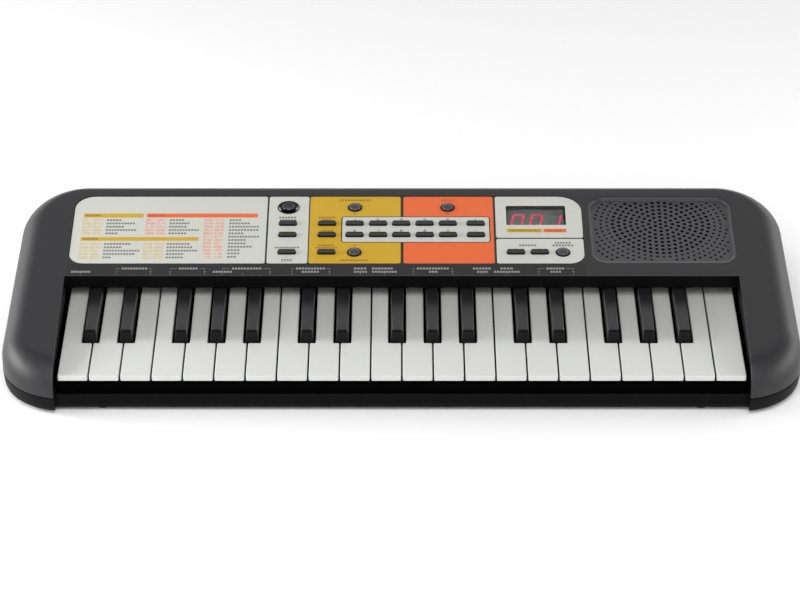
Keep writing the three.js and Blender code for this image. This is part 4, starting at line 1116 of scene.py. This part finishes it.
def build_marks():
    marks = Marks(PANEL_FACE)
    marks.block("gold", -210.0, 65.1, -170.6, 69.5)
    marks.block("coral", -168.4, 65.1, -95.1, 69.5)
    marks.block("gold", -210.2, 39.6, -133.1, 43.5)
    build_list(marks, "yellow", -210.0, -194.4, 62.2, 1, [9.6, 18.6, 11.6, 19.8, 8.0])
    build_list(marks, "orange", -168.3, -153.0, 62.2, 1, [9.4, 13.2, 11.4, 19.6, 11.6])
    build_list(marks, "orange", -129.8, -113.6, 62.2, 36,
               [7.6, 13.4, 19.6, 19.4, 9.6, 20.0, 11.4, 11.6, 15.6, 7.8, 7.8, 5.8])
    build_list(marks, "yellow", -209.8, -194.4, 36.1, 1, [17.2, 11.3, 23.4, 20.4, 5.2])
    build_list(marks, "yellow", -168.3, -153.4, 36.1, 36, [14.7, 16.7, 20.0, 11.1, 11.1])
    for x0, x1, up in ((-81, -69.8, 65.1), (-80.3, -69.6, 62.3), (-82.9, -67.1, 32.2), (-78.2, -71.5, 18.9),
                       (76.5, 87.8, 34.6), (99.9, 110.2, 37.3), (98.3, 112, 34.6)):
        marks.words("dark", x0, x1, up)
    marks.block("dark", -78.4, 17.2, -71.3, 17.45)
    marks.triangle("black", POWER_X, 21.8, 0.55, True)
    marks.block("dark", POWER_X - 1.3, 53.0, POWER_X + 1.3, 53.25)
    for x0, x1, up in ((-54.9, -44, 65.1), (-52.2, -46.6, 62.6), (-52.7, -45.3, 50.2), (-54.4, -44.5, 34.7),
                       (-56.1, -42.2, 32.1), (-41.5, -20.8, 84.3), (-40.1, -22.2, 18.5)):
        marks.words("brown", x0, x1, up)
    marks.words("rust", 26.1, 35, 84.3)
    marks.triangle("black", STYLE_X, 69.4, 1.05, False)
    marks.triangle("black", VOICE_X, 69.4, 1.05, False)
    marks.triangle("black", STYLE_X, 34.4, 1.05, True)
    for column, x in enumerate(PAD_COLUMNS[:5]):
        marks.digits("black", str((column + 6) % 10), x - 0.6, ROW_LOW + 3.6, LETTER)
        marks.digits("black", str(column + 1), x - 0.6, ROW_HIGH + 3.6, LETTER)
    plus = PAD_COLUMNS[5]
    for up in (ROW_HIGH, ROW_LOW):
        marks.block("black", plus - 0.8, up + 4.4, plus + 0.8, up + 4.7)
    marks.block("black", plus - 0.15, ROW_HIGH + 3.75, plus + 0.15, ROW_HIGH + 5.35)
    marks.block("gold", 69, 48.7, 92, 52.7)
    marks.block("coral", 93, 48.7, 108, 52.7)
    for x in OCTAVE_COLUMNS:
        marks.triangle("black", x, 31.1, 0.6, True)
    marks.build("panel_marks")
    over = Marks(PANEL_FACE + INK)
    for ink, x0, x1, up in (("brown", -208.6, -199.4, 67.3), ("rust", -167.0, -156.4, 67.3),
                            ("brown", -208.8, -199.0, 41.6), ("brown", 70.6, 90.2, 50.7),
                            ("rust", 95.4, 105.0, 50.7)):
        over.words(ink, x0, x1, up)
    over.build("heading_marks")


build_marks()


# ---- Legend strip in front of the panel ----
def build_legend():
    face = 0.05
    skin = Skin()
    front = (SLOT_BACK - DECK_START) / math.cos(DECK_TILT) + EDGE + 0.15
    outline = rectangle(PANEL_LEFT, front, PANEL_WIDTH, PANEL_FRONT - front - 1.1, [0.3] * 4, 0, 3)
    skin.slab(outline, [], -0.02, face, on_deck, bevel=0.02)
    make_piece("legend_strip", skin, [STRIP], "case", weld=0.0005)
    marks = Marks(face)
    upper, lower = 9.15, 5.65

    def tick(x):
        marks.block("light", x - 0.14, 2.8, x + 0.14, 4.1)

    def bracket(x0, x1, words):
        """Two ticks with signs over them and lines that reach in to the words between."""
        for x, edge in ((x0, words[0] - 1.4), (x1, words[1] + 1.4)):
            marks.block("light", min(x, edge), upper - 0.12, max(x, edge), upper + 0.12)
            marks.block("light", x - 0.12, upper - 1.6, x + 0.12, upper)
            marks.block("light", x - 0.7, lower - 0.14, x + 0.7, lower + 0.14)
            tick(x)
        marks.block("light", x1 - 0.14, lower - 0.7, x1 + 0.14, lower + 0.7)
        marks.words("light", words[0], words[1], upper)

    for x0, x1 in ((-213.5, -201.2), (-122, -109.8), (-64.7, -53.6), (17.5, 23), (96, 102.7)):
        marks.words("light", x0, x1, lower)
    for x0, x1, words in ((-184.5, -162.2, (-181.1, -164.6)), (-149.4, -127.3, (-144.1, -132.1)),
                          (-116, -85.1, (-109.8, -90.9)), (-71.1, -46.6, (-68.4, -49.7)),
                          (7.4, 32.7, (9.7, 30.3)), (88.2, 110.8, (93.5, 104.9))):
        bracket(x0, x1, words)
    for x, first, second in ((-26.7, (-31, -23), (-31, -22.6)), (-11.1, (-19.3, -5.9), (-19.2, -3.3)),
                             (52, (45.9, 57.3), (48.6, 55.4)), (68.2, (63.7, 71.7), (59.5, 76))):
        marks.words("light", *first, upper)
        marks.words("light", *second, lower)
        tick(x)
    for x in (-207.4, -102.9):
        tick(x)
    marks.build("legend_marks")


build_legend()


# ---- Buttons ----
MODULE_HEIGHT, DIGIT_DEPTH = 8, 4.2
CAP_TOP = PANEL_FACE + 1.5
FLANGE_TOP = PANEL_BACK - GAP
FLANGE_FOOT = FLANGE_TOP - 1.2
FLANGE_REACH = 1.2  # of a round button's flange beyond its cap
WEB_X, WEB_UP = 6.9, 3.3  # of a unit's web beyond the middles of its outer caps
BOARD_TOP = PANEL_FACE - DIGIT_DEPTH - MODULE_HEIGHT - GAP
SWITCH = 1
STEM_END = BOARD_TOP + SWITCH + SLIP
# Profile of a bar's cap, from the side to the middle: how far drawn in, and below the top.
BAR_EDGE = [(0, 0.5), (0.08, 0.24), (0.26, 0.07), (0.5, 0), (0.62, 0), (0.74, 0.1)]


def build_bars(node, places):
    """A moulded unit of bar-shaped caps on one web, each with a stem over its switch."""
    skin = Skin()
    for x, up in places:
        levels = [(0, FLANGE_TOP)] + [(inset, CAP_TOP - drop) for inset, drop in BAR_EDGE]
        rings = [skin.ring([on_deck(a, b, out) for a, b in bar_outline(x, up, -inset)])
                 for inset, out in levels]
        # The sides and rounded edge of a cap take the darker rubber, painted shade; the top takes the
        # lighter.
        for i, (low, high) in enumerate(zip(rings, rings[1:])):
            skin.bridge(low, high, finish=1 if i >= 3 else 0)
        inset, face = levels[-1]
        skin.sheet(bar_outline(x, up, -inset), [], lambda a, b: on_deck(a, b, face), finish=1)
        skin.sheet(bar_outline(x, up), [], lambda a, b: on_deck(a, b, FLANGE_TOP), flip=True)
        stem = rectangle(x - BAR_LENGTH / 2, up - BAR_LENGTH / 2, BAR_LENGTH, BAR_LENGTH, [0.3] * 4, 0, 2)
        skin.slab(stem, [], STEM_END, FLANGE_TOP - 0.6, on_deck)
    xs, ups = zip(*places)
    web = rectangle(min(xs) - WEB_X, min(ups) - WEB_UP, max(xs) - min(xs) + 2 * WEB_X,
                    max(ups) - min(ups) + 2 * WEB_UP, [1] * 4)
    skin.slab(web, [], FLANGE_FOOT, FLANGE_TOP, on_deck, bevel=0.1)
    make_piece(f"{node}_caps", skin, [BUTTON, BUTTON_TOP], node, [node], sharp=50)


# Profiles of the round caps, from the side to the middle: how far in from the edge, and below the top.
DISHED_CAP = [(0, 0.55), (0.12, 0.2), (0.4, 0.02), (0.6, 0), (0.9, 0.14), (2.2, 0.24), (3.6, 0.28)]
DOMED_CAP = [(0, 1.0), (0.1, 0.84), (0.3, 0.76), (0.7, 0.76), (0.84, 0.9), (0.98, 0.66), (1.2, 0.4),
             (1.6, 0.2), (2.4, 0.06), (3.3, 0.01), (4.1, 0)]


def build_round(node, x, up, radius):
    """A round cap on its flange and stem. The rim has one finish and the middle another; on the domed caps
    the black rim is painted shade, the dark gap round the dome.
    """
    if node == "power_button":
        profile, rim_rings, finishes = DISHED_CAP, 3, [GLOSS_BLACK, POWER_TOP]
    else:
        profile, rim_rings, finishes = DOMED_CAP, 4, [BUTTON, DOME]
    below = [(radius / 2, STEM_END), (radius / 2, FLANGE_FOOT), (radius + FLANGE_REACH, FLANGE_FOOT),
             (radius + FLANGE_REACH, FLANGE_TOP), (radius, FLANGE_TOP)]
    above = [(radius - inset, CAP_TOP - drop) for inset, drop in profile]
    marks = [0] * (len(below) + rim_rings) + [1] * (len(above) - rim_rings - 1)
    skin = Skin()
    skin.turned(below + above, lambda a, b, out: on_deck(x + a, up + b, out), 40, marks)
    make_piece(f"{node}_cap", skin, finishes, node, [node], sharp=50)


for button_node, bar_places in BAR_SETS.items():
    build_bars(button_node, bar_places)
for button_node, (button_x, button_up, button_radius) in ROUND_BUTTONS.items():
    build_round(button_node, button_x, button_up, button_radius)


def build_power_cup():
    """The glossy ring round the power button: a funnel with a raised lip that rests on the panel."""
    skin = Skin()
    seat, neck = CUP_RADIUS - CUP_GLUE - 0.05, 4.62
    profile = [(neck, PANEL_BACK), (seat, PANEL_BACK), (seat, PANEL_FACE)]
    profile += [(CUP_RADIUS - inset, PANEL_FACE + rise) for inset, rise in (
        (0, 0.02), (0, 0.2), (0.2, 0.34), (0.5, 0.36), (0.9, 0.2), (1.5, -0.25), (2.1, -0.55), (2.5, -0.7))]
    profile.append((neck, PANEL_FACE - 0.8))
    rings = [skin.ring([on_deck(x, up, out) for x, up in circle(POWER_X, ROW_BACK, radius, 48)])
             for radius, out in profile]
    skin.stack(rings + [rings[0]])
    make_piece("power_cup", skin, [GLOSS_BLACK], "case", sharp=50)


build_power_cup()


# ---- Display: window, module and lit digits ----
HOOD = 6  # how far the face of the digits runs on under the panel behind the window
DIGIT_HEIGHT, DIGIT_WIDTH, STROKE, DIGIT_LEAN = 14.2, 6.7, 1.35, math.tan(math.radians(10))
DIGITS = ((76.4, "abcdef"), (88.8, "abcdef"), (101.1, "bc"))  # middle of each digit, and its lit strokes
DIGITS_UP = 67.4
STROKE_ENDS = {"a": (0, 2, 1, 2), "d": (0, 0, 1, 0), "g": (0, 1, 1, 1), "b": (1, 1, 1, 2),
               "c": (1, 0, 1, 1), "e": (0, 0, 0, 1), "f": (0, 1, 0, 2)}


def build_display():
    skin = Skin()
    pane = rectangle(WINDOW_LEFT, WINDOW_FRONT, WINDOW_WIDTH, WINDOW_LENGTH, [0.7] * 4)
    skin.slab(pane, [], PANEL_BACK - GAP, PANEL_FACE - 0.1, on_deck, bevel=0.12)
    make_piece("display_pane", skin, [WINDOW], "case", ["display_window"])

    module_x = WINDOW_LEFT + WINDOW_WIDTH / 2
    module_up = WINDOW_FRONT + WINDOW_LENGTH / 2
    face = PANEL_FACE - DIGIT_DEPTH
    skin = Skin()
    body = rectangle(module_x - 18.8, module_up - 9.5, 37.6, 19 + HOOD, [0.6] * 4)
    skin.slab(body, [], face - MODULE_HEIGHT, face, on_deck, bevel=0.2)
    # The module's face carries painted light, lifting the shade behind the window.
    make_piece("digit_module", skin, [MODULE], "case", ["display_module"])

    lit, faint = Skin(), Skin()
    for digit_x, shown in DIGITS:
        for part, (x0, y0, x1, y1) in STROKE_ENDS.items():
            first, last = (Vector(((x - 0.5) * DIGIT_WIDTH, (y - 1) * (DIGIT_HEIGHT - STROKE) / 2))
                           for x, y in ((x0, y0), (x1, y1)))
            along = (last - first).normalized()
            across = Vector((-along.y, along.x)) * STROKE / 2
            tip = along * STROKE / 2
            start, end = first + along * 0.2, last - along * 0.2
            ring = [start, start + tip - across, end - tip - across,
                    end, end - tip + across, start + tip + across]
            outline = [(digit_x + p.x + p.y * DIGIT_LEAN, DIGITS_UP + p.y) for p in ring]
            (lit if part in shown else faint).slab(outline, [], face, face + 0.05, on_deck)
    make_piece("lit_digits", lit, [LIT], "case")
    make_piece("unlit_digits", faint, [UNLIT], "case")


build_display()

# ---- Finishes of the nodes that stay ----
# The key frame and the contact board are darkened as painted shade under and between the keys.
KEPT_NODES = {"battery_cover": LOWER_SHELL_SHADE_PLASTIC, "key_frame": KEY_FRAME_SHADE, "key_contact_board": CONTACT_BOARD_SHADE,
              "main_board": BOARD, "speaker": SPEAKER_CONE}
for node, material in KEPT_NODES.items():
    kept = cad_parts[node]
    kept.data.materials.clear()
    kept.data.materials.append(material)

# ---- Floor, sky and lamps ----
FLOOR_REACH = 12
HORIZON_LIGHT, ZENITH_LIGHT, FRONT_SHARE = 2.7, 0.24, 0.3


def build_floor():
    mesh = bpy.data.meshes.new("studio_floor")
    outline = quad(-FLOOR_REACH, -FLOOR_REACH, FLOOR_REACH, FLOOR_REACH)
    mesh.from_pydata([(x, y, 0) for x, y in outline], [], [(0, 1, 2, 3)])
    floor = bpy.data.objects.new("studio_floor", mesh)
    bpy.context.scene.collection.objects.link(floor)
    paper = bpy.data.materials.new("pale_floor")
    paper.use_nodes = True
    shader = paper.node_tree.nodes["Principled BSDF"]
    shader.inputs["Base Color"].default_value = (0.93, 0.93, 0.93, 1)
    shader.inputs["Roughness"].default_value = 0.9
    mesh.materials.append(paper)


def ramp(tree, value, start, end, low, high, smooth=False):
    """A value mapped from one span to another, and held at its ends."""
    step = tree.nodes.new("ShaderNodeMapRange")
    step.interpolation_type = "SMOOTHSTEP" if smooth else "LINEAR"
    tree.links.new(value, step.inputs["Value"])
    for label, number in (("From Min", start), ("From Max", end), ("To Min", low), ("To Max", high)):
        step.inputs[label].default_value = number
    return step.outputs["Result"]


def build_sky():
    """A white sweep: bright at the horizon, dimmer overhead and dimmer in front."""
    world = bpy.data.worlds.new("studio")
    bpy.context.scene.world = world
    world.use_nodes = True
    tree = world.node_tree
    place = tree.nodes.new("ShaderNodeTexCoord")
    parts = tree.nodes.new("ShaderNodeSeparateXYZ")
    tree.links.new(place.outputs["Generated"], parts.inputs[0])
    fade = ramp(tree, parts.outputs["Z"], 0.2, 0.58, HORIZON_LIGHT, ZENITH_LIGHT, smooth=True)
    shade = ramp(tree, parts.outputs["Y"], -0.6, 0.2, FRONT_SHARE, 1)
    background = tree.nodes["Background"]
    tree.links.new(math_step(tree, "MULTIPLY", fade, shade), background.inputs["Strength"])
    background.inputs["Color"].default_value = (1, 1, 1, 1)


def area_lamp(name, place, size, power):
    """A soft rectangular lamp aimed at the middle of the keyboard."""
    data = bpy.data.lights.new(name, "AREA")
    data.shape = "RECTANGLE"
    data.size, data.size_y = size
    data.energy = power
    lamp = bpy.data.objects.new(name, data)
    lamp.location = place
    lamp.rotation_euler = (-Vector(place)).to_track_quat("-Z", "Y").to_euler()
    lamp.visible_camera = False
    bpy.context.scene.collection.objects.link(lamp)


build_floor()
build_sky()
area_lamp("overhead_softbox", (0, -1.05, 1.8), (1.5, 1.0), 20)
area_lamp("front_softbox", (0, -1.7, 1.35), (2.4, 1.0), 15)
area_lamp("left_softbox", (-0.9, -0.05, 0.28), (0.6, 0.3), 6)
area_lamp("right_softbox", (0.9, -0.05, 0.28), (0.6, 0.3), 2)
bpy.context.scene.view_settings.view_transform = "Standard"
